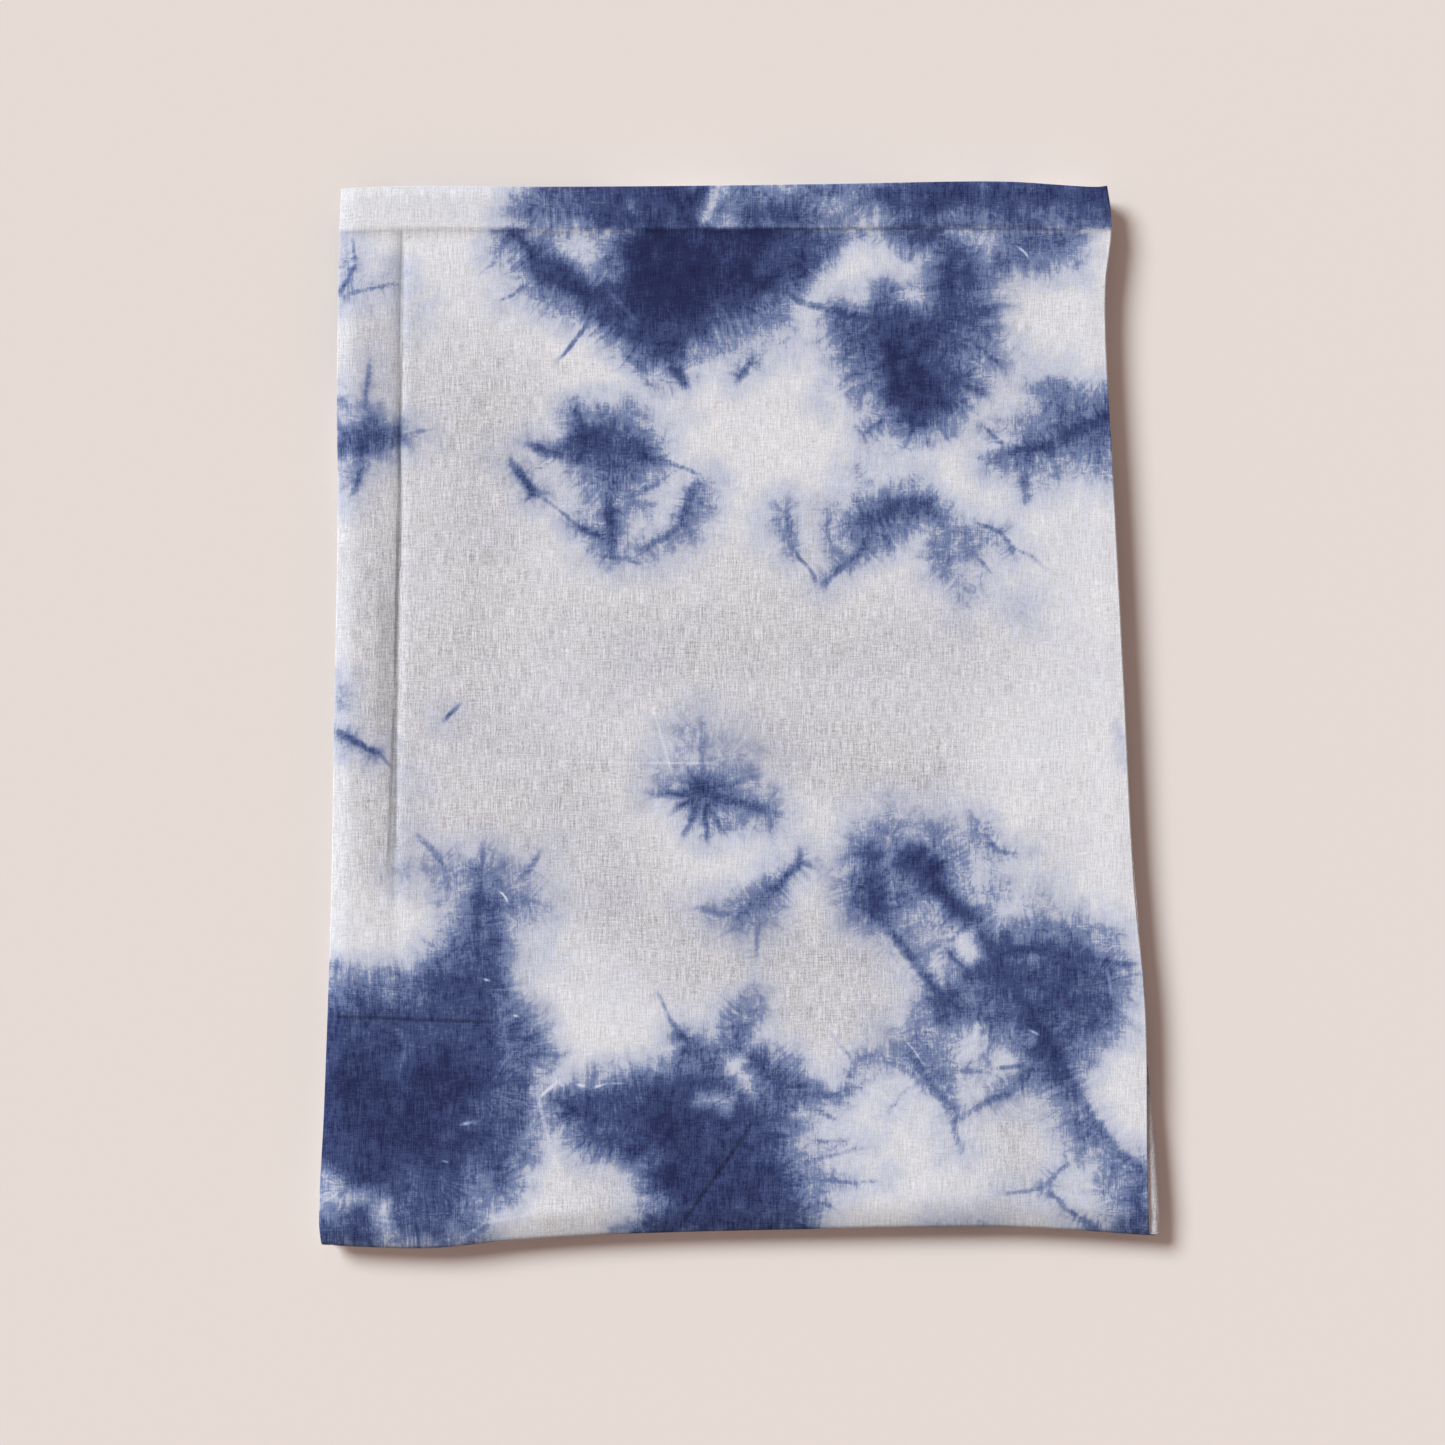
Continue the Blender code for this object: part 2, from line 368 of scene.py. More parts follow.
def roll_columns(ply, turns):
    """The columns round the fold between a ply and the next one, at some of its turns."""
    at_left = ply % 2 == 0
    across = 0.0 if at_left else 1.0
    if ply == 2:
        across = INNER_FOLD_IN / mean_width()
    angle = np.pi * turns
    middle = PLY_PITCH * ((PLIES - 1) / 2.0 - ply - 0.5)
    out = PLY_PITCH / 2.0 * np.sin(angle) * (-1.0 if at_left else 1.0)
    lift = middle + PLY_PITCH / 2.0 * np.cos(angle)
    return Columns(np.full(len(turns), across), out, lift, np.full(len(turns), ply))


def joined(*parts):
    """Columns one after another."""
    return Columns(*(np.concatenate(values) for values in zip(*parts, strict=True)))


def layer_point(columns, layer, down):
    """The middle of a layer at its columns: x, y, z and the height that the top ply's creases add."""
    back, front = edge_at(BACK_EDGE, 0.0), edge_at(FRONT_EDGE, 0.0)
    y_there = back * (1.0 - down) + front * down
    left, right = edge_at(LEFT_EDGE, y_there), edge_at(RIGHT_EDGE, y_there)
    x = left * (1.0 - columns.across) + right * columns.across
    right_in = LAYER_TABLE[layer].right
    if layer == LAYERS - 2:
        right_in = right_in - SPILL_OUT * smooth_step(front + SPILL_LONG, front + SPILL_FULL, y_there)
    x = x + LAYER_TABLE[layer].left * trough(x - left, EDGE_PLAY)
    x = x - right_in * trough(right - x, EDGE_PLAY) + columns.out
    y = flat_end(x, layer, False) * (1.0 - down) + flat_end(x, layer, True) * down
    pitch = LAYER_PITCH - dip(x, y) / (LAYERS - 1)
    z = LAYER_THICK / 2.0 + layer * pitch
    extra = np.zeros_like(x)
    if layer == LAYERS - 1:
        z = z - band_step(x, y)
        inside = np.minimum.reduce([x - left, right - x, back - y, y - front])
        sag = PLY_SAG * smooth_step(PLY_SAG_FROM, PLY_SAG_FULL, inside)
        extra = np.where(columns.ply == 0, ridge_height(x, y), -sag)
    return x, y, z, extra


def flat_row(columns, layer, down):
    """A row of points across a layer's flat part."""
    x, y, z, extra = layer_point(columns, layer, down)
    side = 1.0 if layer % 2 == 0 else -1.0
    return np.column_stack([x, y, z + side * columns.lift + extra])


def fold_row(columns, upper, turn):
    """A row of points round the fold between a layer and the one below it, from turn 0 to 1."""
    at_front = upper % 2 == 0
    outward = -1.0 if at_front else 1.0
    down = 1.0 if at_front else 0.0
    high = np.column_stack(layer_point(columns, upper, down)[:3])
    low = np.column_stack(layer_point(columns, upper - 1, down)[:3])
    middle, half = (high + low) / 2.0, (high - low) / 2.0
    cos, sin = math.cos(math.pi * turn), math.sin(math.pi * turn)
    row = middle + half * cos
    row[:, 1] += outward * half[:, 2] * sin
    side = 1.0 if upper % 2 == 0 else -1.0
    row[:, 1] += side * columns.lift * outward * sin
    row[:, 2] += side * columns.lift * cos
    return row


def flat_place(row, columns, layer):
    """Where a row's points lie on the cloth spread flat, which agrees with the plan over the top ply."""
    x, y = row[:, 0], row[:, 1]
    left, right = edge_at(LEFT_EDGE, y), edge_at(RIGHT_EDGE, y)
    width = right - left
    across = np.where(columns.ply % 2 == 0, x, 2.0 * left - x) - 2.0 * width * (columns.ply // 2)
    across = across + np.where(columns.ply == PLIES - 1, 2.0 * INNER_FOLD_IN, 0.0)
    passed = LAYERS - 1 - layer
    front = float(edge_at(FRONT_EDGE, 0.0))
    along = (y if passed % 2 == 0 else 2.0 * front - y) - mean_length() * (passed - passed % 2)
    return np.column_stack([across, along])


class Patch(NamedTuple):
    """A grid of the sheet's points, row by row: where each lies, also on the flat cloth, and its number."""

    points: np.ndarray
    flat: np.ndarray
    numbers: np.ndarray


def make_patch(columns, rows, first):
    """A grid from its columns and rows. A row is a flat one or one round a fold."""
    points, flat = [], []
    for layer, down, turn in rows:
        row = flat_row(columns, layer, down) if turn is None else fold_row(columns, layer, turn)
        points.append(row)
        flat.append(flat_place(row, columns, layer if turn is None or turn < 0.5 else layer - 1))
    count = len(rows) * len(points[0])
    return Patch(np.array(points), np.array(flat), first + np.arange(count).reshape(len(rows), -1))


def grid_faces(patch):
    """The four-sided faces of a patch."""
    numbers = patch.numbers
    corners = (numbers[:-1, :-1], numbers[:-1, 1:], numbers[1:, 1:], numbers[1:, :-1])
    return np.stack(corners, -1).reshape(-1, 4).tolist()


def stitch(first, second, at_first, at_second):
    """Triangles that join two rows of points, each with its places along the seam."""
    faces, i, j = [], 0, 0
    while i < len(first) - 1 or j < len(second) - 1:
        first_left, second_left = i < len(first) - 1, j < len(second) - 1
        if not second_left or (first_left and at_first[i + 1] <= at_second[j + 1]):
            faces.append((first[i], first[i + 1], second[j]))
            i += 1
        else:
            faces.append((first[i], second[j + 1], second[j]))
            j += 1
    return faces


def sheet_columns():
    """The columns of the fine top panel, of all the other plies, and of the top panel's coarse form."""
    turns = np.array([n / ROLL_TURNS for n in range(1, ROLL_TURNS)])
    first_half, second_half = turns[: ROLL_TURNS // 2], turns[ROLL_TURNS // 2 :]
    roll = roll_columns(0, first_half)
    fine = joined(flat_columns(0, FINE_STEP, FINE_EDGE_STEP, (STRIP_WIDTH,)), roll)
    coarse = joined(flat_columns(0, COARSE_STEP, COARSE_EDGE_STEP, CREASE_ZONE), roll)
    others = [roll_columns(0, second_half)]
    for ply in range(1, PLIES):
        others.append(flat_columns(ply, COARSE_STEP, COARSE_EDGE_STEP, CREASE_ZONE if ply == 1 else ()))
        if ply < PLIES - 1:
            others.append(roll_columns(ply, turns))
    return fine, joined(*others), coarse


def sheet_rows():
    """The rows of the fine top panel, of the coarse plies beside it, and of all that lies below them."""
    length = mean_length()
    top = LAYERS - 1
    turns = [n / FOLD_TURNS for n in range(1, FOLD_TURNS)]
    first_half, second_half = turns[: FOLD_TURNS // 2], turns[FOLD_TURNS // 2 :]
    upper = []
    for steps in ((FINE_STEP, FINE_EDGE_STEP), (COARSE_STEP, COARSE_EDGE_STEP)):
        rows = [(top, d / length, None) for d in spaced(length, *steps, (BAND_DEPTH,))]
        upper.append(rows + [(top, 1.0, turn) for turn in first_half])
    lower = [(top, 1.0, turn) for turn in second_half]
    for layer in reversed(range(top)):
        downs = spaced(length, HIDDEN_STEP, HIDDEN_EDGE_STEP) / length
        lower += [(layer, d, None) for d in (downs if layer % 2 == 0 else downs[::-1])]
        if layer:
            lower += [(layer, 0.0, turn) for turn in turns]
    return *upper, lower


def sheet_mesh():
    """The whole folded sheet, and how many of its points, the first ones, lie on the fine top panel."""
    fine_columns, other_columns, coarse_columns = sheet_columns()
    fine_rows, beside_rows, lower_rows = sheet_rows()
    fine = make_patch(fine_columns, fine_rows, 0)
    beside = make_patch(other_columns, beside_rows, fine.numbers.size)
    lower_columns = joined(coarse_columns, other_columns)
    lower = make_patch(lower_columns, lower_rows, fine.numbers.size + beside.numbers.size)
    patches = (fine, beside, lower)
    faces = [face for patch in patches for face in grid_faces(patch)]

    # The seam down the top panel's left edge
    down_fine, down_beside = fine.numbers[:, -1].tolist(), beside.numbers[:, 0].tolist()
    side = stitch(down_fine, down_beside, -fine.flat[:, -1, 1], -beside.flat[:, 0, 1])
    faces += [face[::-1] for face in side]

    # The seam round the front fold: first the fine part, then the corner and the coarse part
    split = len(coarse_columns.across)
    front, under = fine.numbers[-1].tolist(), lower.numbers[0].tolist()
    faces += stitch(front, under[:split], -fine.flat[-1, :, 0], -lower.flat[0, :split, 0])
    upper = [front[-1], *beside.numbers[-1].tolist()]
    under = under[split - 1 :]
    faces += zip(upper, upper[1:], under[1:], under, strict=False)
    points = np.concatenate([patch.points.reshape(-1, 3) for patch in patches])
    flat = np.concatenate([patch.flat.reshape(-1, 2) for patch in patches])
    return points, flat, fine.numbers.size, faces


def pack_shift(points):
    """The move that sets the sheet's box on the CAD model's box in plan, and its underside on the floor."""
    low, high = points.min(0), points.max(0)
    middle = (low + high) / 2.0
    target = (CAD_LOW + CAD_HIGH) / 2.0
    return np.array([target.x / MM - middle[0], target.y / MM - middle[1], PLY_THICK / 2.0 - low[2]])


# The dye. Marks are placed in the photo's pixels, one of which is this many millimetres
PIXEL = 0.35
PIXEL_X = 741.5  # the column and the row that lie at the middle of the pack's frame
PIXEL_Y = 716.0
BAND_LINE = 228.0


class Mark(NamedTuple):
    """A mark of dye from one point to another, in the photo's pixels.

    Its half-width goes from r0 to r1, dark is its strength, soft the half-width of its edge, ray how far
    threads of dye run out from that edge, and bow how far its middle bends to one side. The marks of a
    table of whites take dye away again, and those of the sheer table paint the grey shade of a sheer ply.
    """

    x0: float
    y0: float
    r0: float
    x1: float
    y1: float
    r1: float
    dark: float
    soft: float = 7.0
    ray: float = 5.0
    bow: float = 0.0


# Above the line that the top edge's fold leaves
BAND_MARKS = table(
    Mark,
    (520, 206, 10, 548, 202, 19, 0.6, 15),
    (545, 204, 20, 610, 204, 26, 0.74, 14),
    (560, 188, 8, 640, 188, 10, 0.86, 10),
    (612, 206, 26, 692, 206, 28, 0.9, 12),
    (720, 196, 12, 745, 204, 18, 0.66, 13),
    (748, 216, 14, 800, 216, 16, 0.84, 13),
    (730, 196, 10, 800, 196, 12, 0.52, 15),
    (818, 200, 12, 840, 206, 12, 0.54, 14),
    (812, 217, 8, 834, 222, 8, 0.66, 11),
    (810, 189, 7, 858, 189, 7, 0.78, 9),
    (868, 204, 16, 905, 206, 24, 0.78, 14),
    (905, 206, 26, 950, 200, 26, 0.9, 13),
    (950, 200, 22, 1010, 200, 24, 0.8, 14),
    (1000, 203, 26, 1104, 204, 27, 0.8, 12),
    (1040, 192, 12, 1104, 196, 14, 0.9, 12),
)
BAND_WHITES = table(
    Mark,
    (545, 220, 5, 582, 222, 6, 0.26, 10, 2),
    (628, 202, 6, 632, 210, 5, 0.38, 10, 2),
    (715, 192, 7, 704, 216, 6, 0.94, 9, 3),
    (724, 212, 6, 738, 218, 6, 0.3, 12, 3),
    (832, 203, 7, 850, 194, 7, 0.52, 12, 2),
    (848, 214, 5, 858, 214, 5, 0.24, 11, 2),
    (866, 218, 7, 892, 220, 8, 0.55, 11, 2),
    (930, 219, 4, 960, 213, 6, 0.55, 9, 2),
    (965, 218, 5, 1005, 218, 7, 0.42, 11, 2),
    (1030, 212, 6, 1080, 215, 7, 0.34, 12, 2),
)
# The large triangle at the top, with its wing to the left
TOP_MARKS = table(
    Mark,
    (655, 252, 37, 782, 246, 33, 0.96, 13),
    (665, 300, 36, 760, 272, 26, 0.97, 14),
    (634, 296, 22, 664, 336, 20, 0.94, 14),
    (661, 336, 17, 682, 378, 1, 0.84, 9),
    (688, 326, 22, 740, 302, 20, 0.9, 15),
    (516, 228, 8, 548, 268, 14, 0.78, 13),
    (548, 270, 14, 606, 302, 18, 0.88, 13),
    (606, 302, 15, 644, 344, 12, 0.84, 13),
    (534, 282, 11, 570, 304, 10, 0.42, 18),
    (800, 244, 20, 834, 236, 12, 0.78, 15),
    (826, 234, 9, 856, 236, 9, 0.58, 13),
    (778, 264, 20, 798, 284, 7, 0.76, 14),
    (716, 330, 14, 770, 316, 14, 0.58, 18),
    (764, 298, 11, 786, 298, 7, 0.46, 15),
    (700, 345, 8, 740, 335, 8, 0.32, 16),
    (745, 345, 10, 795, 340, 9, 0.28, 18),
    (738, 376, 2, 750, 358, 5, 0.5, 8),
    (490, 253, 2, 520, 241, 5, 0.36, 10),
    (500, 298, 2, 532, 286, 4, 0.26, 10),
    (648, 386, 4, 668, 378, 7, 0.5, 10),
    (620, 346, 5, 642, 362, 6, 0.36, 13),
    (596, 226, 5, 602, 240, 3, 0.62, 8),
    (565, 240, 5, 590, 250, 4, 0.34, 9),
)
TOP_WHITES = table(
    Mark,
    (556, 246, 5, 596, 244, 6, 0.64, 12),
    (584, 258, 6, 590, 274, 4, 0.56, 11),
    (902, 266, 6, 912, 288, 6, 0.22, 13),
    (850, 262, 16, 884, 254, 16, 0.82, 16),
    (812, 292, 5, 840, 296, 4, 0.45, 10),
    ray=2,
)
# The blot to the right of it
HEART_MARKS = table(
    Mark,
    (893, 336, 24, 910, 384, 27, 0.96, 14),
    (912, 400, 23, 914, 424, 10, 0.92, 12),
    (922, 392, 20, 958, 376, 14, 0.86, 14),
    (950, 388, 12, 978, 394, 5, 0.64, 12),
    (884, 294, 10, 886, 318, 18, 0.82, 14),
    (950, 250, 14, 948, 318, 19, 0.88, 15),
    (918, 335, 22, 948, 345, 20, 0.86, 15),
    (970, 270, 16, 976, 330, 15, 0.74, 16),
    (960, 342, 18, 990, 358, 12, 0.56, 18),
    (844, 322, 13, 866, 346, 14, 0.82, 16),
    (852, 352, 10, 868, 384, 10, 0.56, 17),
    (864, 434, 2.5, 884, 418, 7, 0.5, 8),
    (890, 234, 9, 934, 234, 13, 0.82, 11),
    (830, 308, 4, 858, 316, 9, 0.66, 10),
    (824, 398, 3, 828, 372, 5, 0.3, 13),
    (986, 262, 8, 990, 296, 8, 0.36, 16),
    (1008, 236, 11, 1066, 238, 12, 0.76, 13),
    (1002, 256, 11, 1040, 252, 12, 0.8, 14),
    (1040, 256, 10, 1072, 254, 9, 0.56, 15),
    (1006, 356, 10, 1028, 374, 9, 0.32, 18),
    (868, 448, 4, 890, 455, 4, 0.3, 12),
    (950, 232, 8, 1000, 234, 8, 0.44, 12),
    (926, 406, 18, 950, 400, 12, 0.86, 13),
)
# At the right edge
EDGE_MARKS = table(
    Mark,
    (990, 459, 4, 1028, 458, 9, 0.58, 12),
    (1028, 452, 9, 1110, 416, 13, 0.84, 16),
    (1070, 436, 19, 1100, 444, 17, 0.66, 20),
    (1034, 462, 8, 1058, 460, 9, 0.56, 13),
    (1006, 464, 6, 1044, 468, 8, 0.36, 13),
    (1050, 398, 12, 1080, 410, 14, 0.66, 16),
    (1062, 382, 6, 1072, 395, 11, 0.5, 14),
    (1012, 426, 11, 1034, 440, 12, 0.52, 17),
    (1021, 466, 6, 1026, 494, 2, 0.4, 11),
    (1044, 466, 7, 1046, 486, 3, 0.4, 11),
    (1086, 466, 9, 1106, 472, 8, 0.42, 16),
    (985, 426, 2, 998, 440, 4, 0.44, 9),
)
# The flower to the left of the middle, with its petals
FLOWER_MARKS = table(
    Mark,
    (612, 438, 20, 624, 448, 20, 0.7, 15),
    (575, 410, 3, 584, 434, 7, 0.74, 7),
    (584, 436, 11, 612, 438, 10, 0.96, 11),
    (578, 448, 9, 640, 452, 10, 0.94, 12),
    (638, 454, 8, 660, 466, 3, 0.78, 9),
    (600, 414, 9, 628, 412, 9, 0.58, 14),
    (640, 432, 6, 662, 440, 2, 0.4, 9),
    (632, 414, 5, 648, 424, 4, 0.28, 12),
    (600, 462, 14, 628, 470, 12, 0.76, 14),
    (606, 474, 9, 612, 492, 6, 0.74, 12),
    (528, 444, 3, 560, 451, 6, 0.66, 8),
    (560, 450, 7, 586, 456, 9, 0.76, 10),
    (575, 468, 8, 595, 480, 8, 0.48, 13),
    (606, 490, 5, 612, 524, 7, 0.78, 10),
    (612, 522, 8, 614, 556, 6, 0.6, 12),
    (628, 500, 12, 640, 506, 10, 0.56, 15),
    (590, 480, 11, 606, 496, 10, 0.5, 15),
    (618, 500, 5, 662, 476, 6, 0.46, 12),
    (508, 460, 3, 524, 478, 4, 0.62, 7),
    (526, 480, 5, 538, 494, 4, 0.66, 7),
    (526, 500, 2, 534, 490, 3, 0.5, 7),
    (576, 524, 3, 602, 538, 5, 0.58, 9),
    (592, 544, 8, 606, 556, 6, 0.48, 13),
    (708, 482, 5, 697, 502, 8, 0.46, 12),
    (694, 500, 9, 686, 522, 8, 0.72, 13),
    (684, 520, 7, 640, 548, 5, 0.5, 12),
    (706, 505, 9, 700, 535, 8, 0.34, 15),
    (640, 562, 4, 656, 562, 4, 0.42, 10),
    (574, 488, 12, 588, 502, 10, 0.16, 20),
    (492, 452, 3, 500, 456, 3, 0.2, 10),
    (660, 412, 3, 684, 412, 2, 0.22, 8),
)
# The pointed shapes and the ring to the right of the middle
RING_MARKS = table(
    Mark,
    (782, 508, 6, 788, 532, 8, 0.46, 13),
    (788, 530, 7, 794, 552, 4, 0.48, 11),
    (760, 530, 5, 780, 526, 6, 0.28, 14),
    (826, 512, 6, 832, 552, 7, 0.48, 13),
    (820, 582, 2, 846, 560, 5, 0.55, 9),
    (850, 558, 6, 874, 536, 11, 0.54, 13),
    (862, 524, 12, 888, 508, 11, 0.84, 13),
    (862, 502, 6, 896, 500, 7, 0.56, 12),
    (892, 506, 11, 918, 506, 9, 0.92, 11),
    (918, 506, 8, 940, 520, 6, 0.62, 12),
    (880, 530, 10, 912, 522, 9, 0.58, 14),
    (908, 488, 6, 920, 474, 3, 0.5, 10),
    (896, 494, 4, 906, 482, 3, 0.46, 9),
    (850, 465, 3, 868, 480, 4, 0.42, 10),
    (858, 480, 3, 872, 476, 3, 0.3, 10),
    (936, 540, 6, 936, 562, 8, 0.48, 13),
    (946, 530, 6, 966, 532, 6, 0.6, 11),
    (966, 536, 6, 970, 556, 7, 0.58, 12),
    (948, 570, 11, 964, 580, 11, 0.5, 14),
    (960, 594, 6, 984, 578, 5, 0.36, 13),
    (974, 527, 6, 994, 538, 7, 0.4, 13),
    (996, 540, 4, 1012, 554, 3, 0.34, 10),
    (1010, 602, 5, 1020, 610, 6, 0.28, 13),
    (960, 604, 3, 962, 620, 2, 0.22, 10),
)
# On the strip along the left edge, and just past its crease
STRIP_MARKS = table(
    Mark,
    (343, 250, 7, 350, 278, 8, 0.36, 14),
    (342, 292, 5, 396, 284, 7, 0.34, 15),
    (342, 442, 11, 370, 440, 11, 0.9, 14),
    (372, 440, 9, 399, 440, 5, 0.72, 12),
    (362, 418, 7, 366, 432, 10, 0.66, 14),
    (371, 358, 2, 372, 378, 4, 0.46, 8),
    (365, 386, 3, 363, 412, 6, 0.46, 11),
    (348, 388, 7, 352, 410, 7, 0.28, 15),
    (359, 458, 10, 358, 474, 7, 0.52, 14),
    (357, 476, 5, 354, 500, 4, 0.34, 12),
    (402, 436, 6, 420, 434, 5, 0.36, 13),
    (338, 690, 8, 342, 703, 6, 0.36, 12),
    (333, 733, 6, 352, 738, 5, 0.46, 10),
    (352, 739, 3, 378, 752, 3, 0.58, 8),
    (442, 720, 4, 449, 718, 3, 0.34, 8),
    (405, 774, 4, 407, 786, 4, 0.24, 12),
    (410, 318, 8, 420, 310, 5, 0.2, 14),
)
# The star below the middle and the band to its right
STAR_MARKS = table(
    Mark,
    (700, 784, 9, 716, 788, 11, 0.86, 13),
    (698, 794, 14, 720, 798, 14, 0.7, 16),
    (700, 804, 8, 692, 824, 3, 0.52, 12),
    (706, 804, 7, 707, 836, 2, 0.56, 9),
    (712, 805, 8, 722, 828, 5, 0.52, 12),
    (720, 795, 8, 748, 804, 8, 0.62, 13),
    (750, 806, 10, 768, 814, 9, 0.64, 14),
    (728, 778, 10, 746, 768, 6, 0.4, 16),
    (716, 758, 6, 724, 768, 7, 0.34, 16),
    (682, 792, 8, 654, 796, 6, 0.34, 16),
    (680, 772, 10, 664, 770, 8, 0.32, 18),
    (690, 748, 14, 730, 752, 14, 0.24, 22),
    (684, 725, 8, 698, 716, 6, 0.26, 16),
    (742, 908, 12, 768, 894, 11, 0.58, 15),
    (768, 894, 9, 796, 862, 6, 0.56, 13),
    (796, 862, 4, 812, 866, 3, 0.34, 11),
    (712, 918, 7, 745, 916, 9, 0.4, 15),
    (690, 905, 4, 720, 916, 6, 0.3, 14),
    (735, 926, 6, 770, 922, 9, 0.44, 14),
    (757, 935, 4, 757, 956, 3, 0.32, 11),
    (753, 985, 5, 751, 1008, 8, 0.4, 16),
    (747, 1008, 9, 734, 1026, 11, 0.5, 16),
)
# The dark corner at the lower left
CORNER_MARKS = table(
    Mark,
    (487, 856, 4, 487, 880, 11, 0.34, 18),
    (486, 878, 17, 498, 900, 18, 0.66, 17),
    (482, 905, 14, 486, 955, 18, 0.8, 17),
    (512, 892, 11, 534, 902, 10, 0.5, 17),
    (538, 848, 2, 520, 878, 5, 0.26, 13),
    (510, 872, 5, 516, 882, 7, 0.36, 14),
    (412, 832, 5, 434, 860, 6, 0.28, 14),
    (434, 860, 6, 448, 876, 7, 0.4, 14),
    (404, 868, 5, 440, 870, 7, 0.3, 14),
    (464, 932, 11, 498, 936, 12, 0.56, 18),
    (452, 956, 12, 490, 958, 14, 0.72, 18),
    (500, 954, 8, 520, 956, 6, 0.34, 15),
    (334, 994, 16, 430, 988, 18, 0.66, 19),
    (440, 984, 22, 482, 988, 23, 0.9, 18),
    (334, 1040, 42, 486, 1030, 36, 0.82, 18),
    (334, 1090, 50, 480, 1090, 46, 0.92, 16),
    (340, 1135, 50, 470, 1130, 44, 0.9, 18),
    (345, 1185, 34, 440, 1180, 36, 0.84, 18),
    (325, 1230, 20, 366, 1228, 20, 0.8, 14),
    (408, 1222, 22, 462, 1218, 20, 0.78, 16),
    (508, 1028, 15, 520, 1050, 19, 0.64, 17),
    (498, 1068, 26, 514, 1084, 18, 0.72, 17),
    (498, 1120, 24, 512, 1142, 18, 0.72, 17),
    (490, 1160, 28, 498, 1185, 18, 0.72, 18),
    (470, 1204, 11, 458, 1230, 8, 0.44, 16),
    (360, 1016, 12, 480, 1020, 14, 0.88, 14),
)
CORNER_WHITES = table(
    Mark,
    (383, 1208, 8, 385, 1226, 8, 0.9, 11),
    (322, 1174, 11, 334, 1186, 11, 0.8, 14),
    (318, 1201, 8, 366, 1199, 6, 0.84, 11),
    (404, 1200, 4, 406, 1216, 4, 0.3, 10),
    (466, 1164, 9, 476, 1184, 9, 0.34, 17),
    (446, 1186, 6, 452, 1196, 6, 0.3, 12),
    (386, 984, 5, 388, 1006, 4, 0.42, 10),
    (342, 984, 9, 352, 994, 8, 0.34, 14),
    (468, 1124, 4, 474, 1121, 4, 0.45, 6),
    (530, 1104, 3, 539, 1126, 4, 0.34, 10),
    (500, 1098, 8, 514, 1108, 7, 0.38, 14),
    (556, 1080, 4, 536, 1097, 4, 0.7, 10),
    ray=2,
)
# The large blot at the front, with the fingers to its right
FRONT_MARKS = table(
    Mark,
    (550, 1098, 4, 582, 1104, 17, 0.86, 12),
    (580, 1106, 18, 640, 1108, 28, 0.88, 14),
    (640, 1110, 34, 700, 1112, 42, 0.93, 16),
    (688, 1124, 38, 750, 1132, 33, 0.92, 16),
    (680, 1182, 30, 758, 1186, 34, 0.93, 16),
    (664, 1222, 14, 792, 1216, 20, 0.92, 13),
    (680, 1038, 5, 690, 1056, 11, 0.7, 12),
    (708, 1062, 10, 736, 1044, 11, 0.66, 14),
    (742, 1024, 9, 757, 1010, 6, 0.52, 14),
    (760, 1064, 11, 784, 1090, 13, 0.8, 14),
    (782, 1106, 9, 790, 1124, 8, 0.74, 13),
    (788, 1094, 9, 812, 1094, 7, 0.6, 13),
    (812, 1092, 7, 842, 1094, 3, 0.56, 9),
    (786, 1150, 8, 792, 1200, 10, 0.62, 15),
    (812, 1108, 5, 835, 1118, 2, 0.36, 9),
    (800, 1140, 5, 846, 1142, 2, 0.3, 11),
    (800, 1164, 6, 842, 1148, 3, 0.34, 12),
    (842, 1148, 3, 868, 1144, 2, 0.26, 9),
    (800, 1180, 9, 852, 1181, 2, 0.46, 11),
    (852, 1181, 2, 884, 1181, 1.5, 0.26, 7),
    (806, 1196, 6, 832, 1206, 4, 0.38, 11),
    (800, 1216, 6, 816, 1222, 4, 0.4, 11),
    (590, 1136, 17, 638, 1150, 15, 0.8, 15),
    (640, 1204, 6, 642, 1226, 6, 0.5, 12),
    (562, 1118, 8, 592, 1134, 10, 0.66, 14),
    (696, 1052, 9, 708, 1064, 12, 0.72, 14),
)
FRONT_WHITES = table(
    Mark,
    (734, 1066, 7, 744, 1076, 8, 0.78, 12),
    (706, 1100, 8, 726, 1104, 8, 0.84, 12),
    (606, 1091, 4, 650, 1084, 5, 0.3, 9),
    (764, 1134, 7, 768, 1212, 7, 0.22, 14),
    (742, 1088, 6, 730, 1102, 6, 0.6, 12),
    (640, 1066, 8, 665, 1064, 6, 0.4, 14),
    (582, 1085, 3, 628, 1083, 3, 0.38, 6),
    (738, 1208, 7, 745, 1212, 6, 0.22, 13),
    ray=2,
)
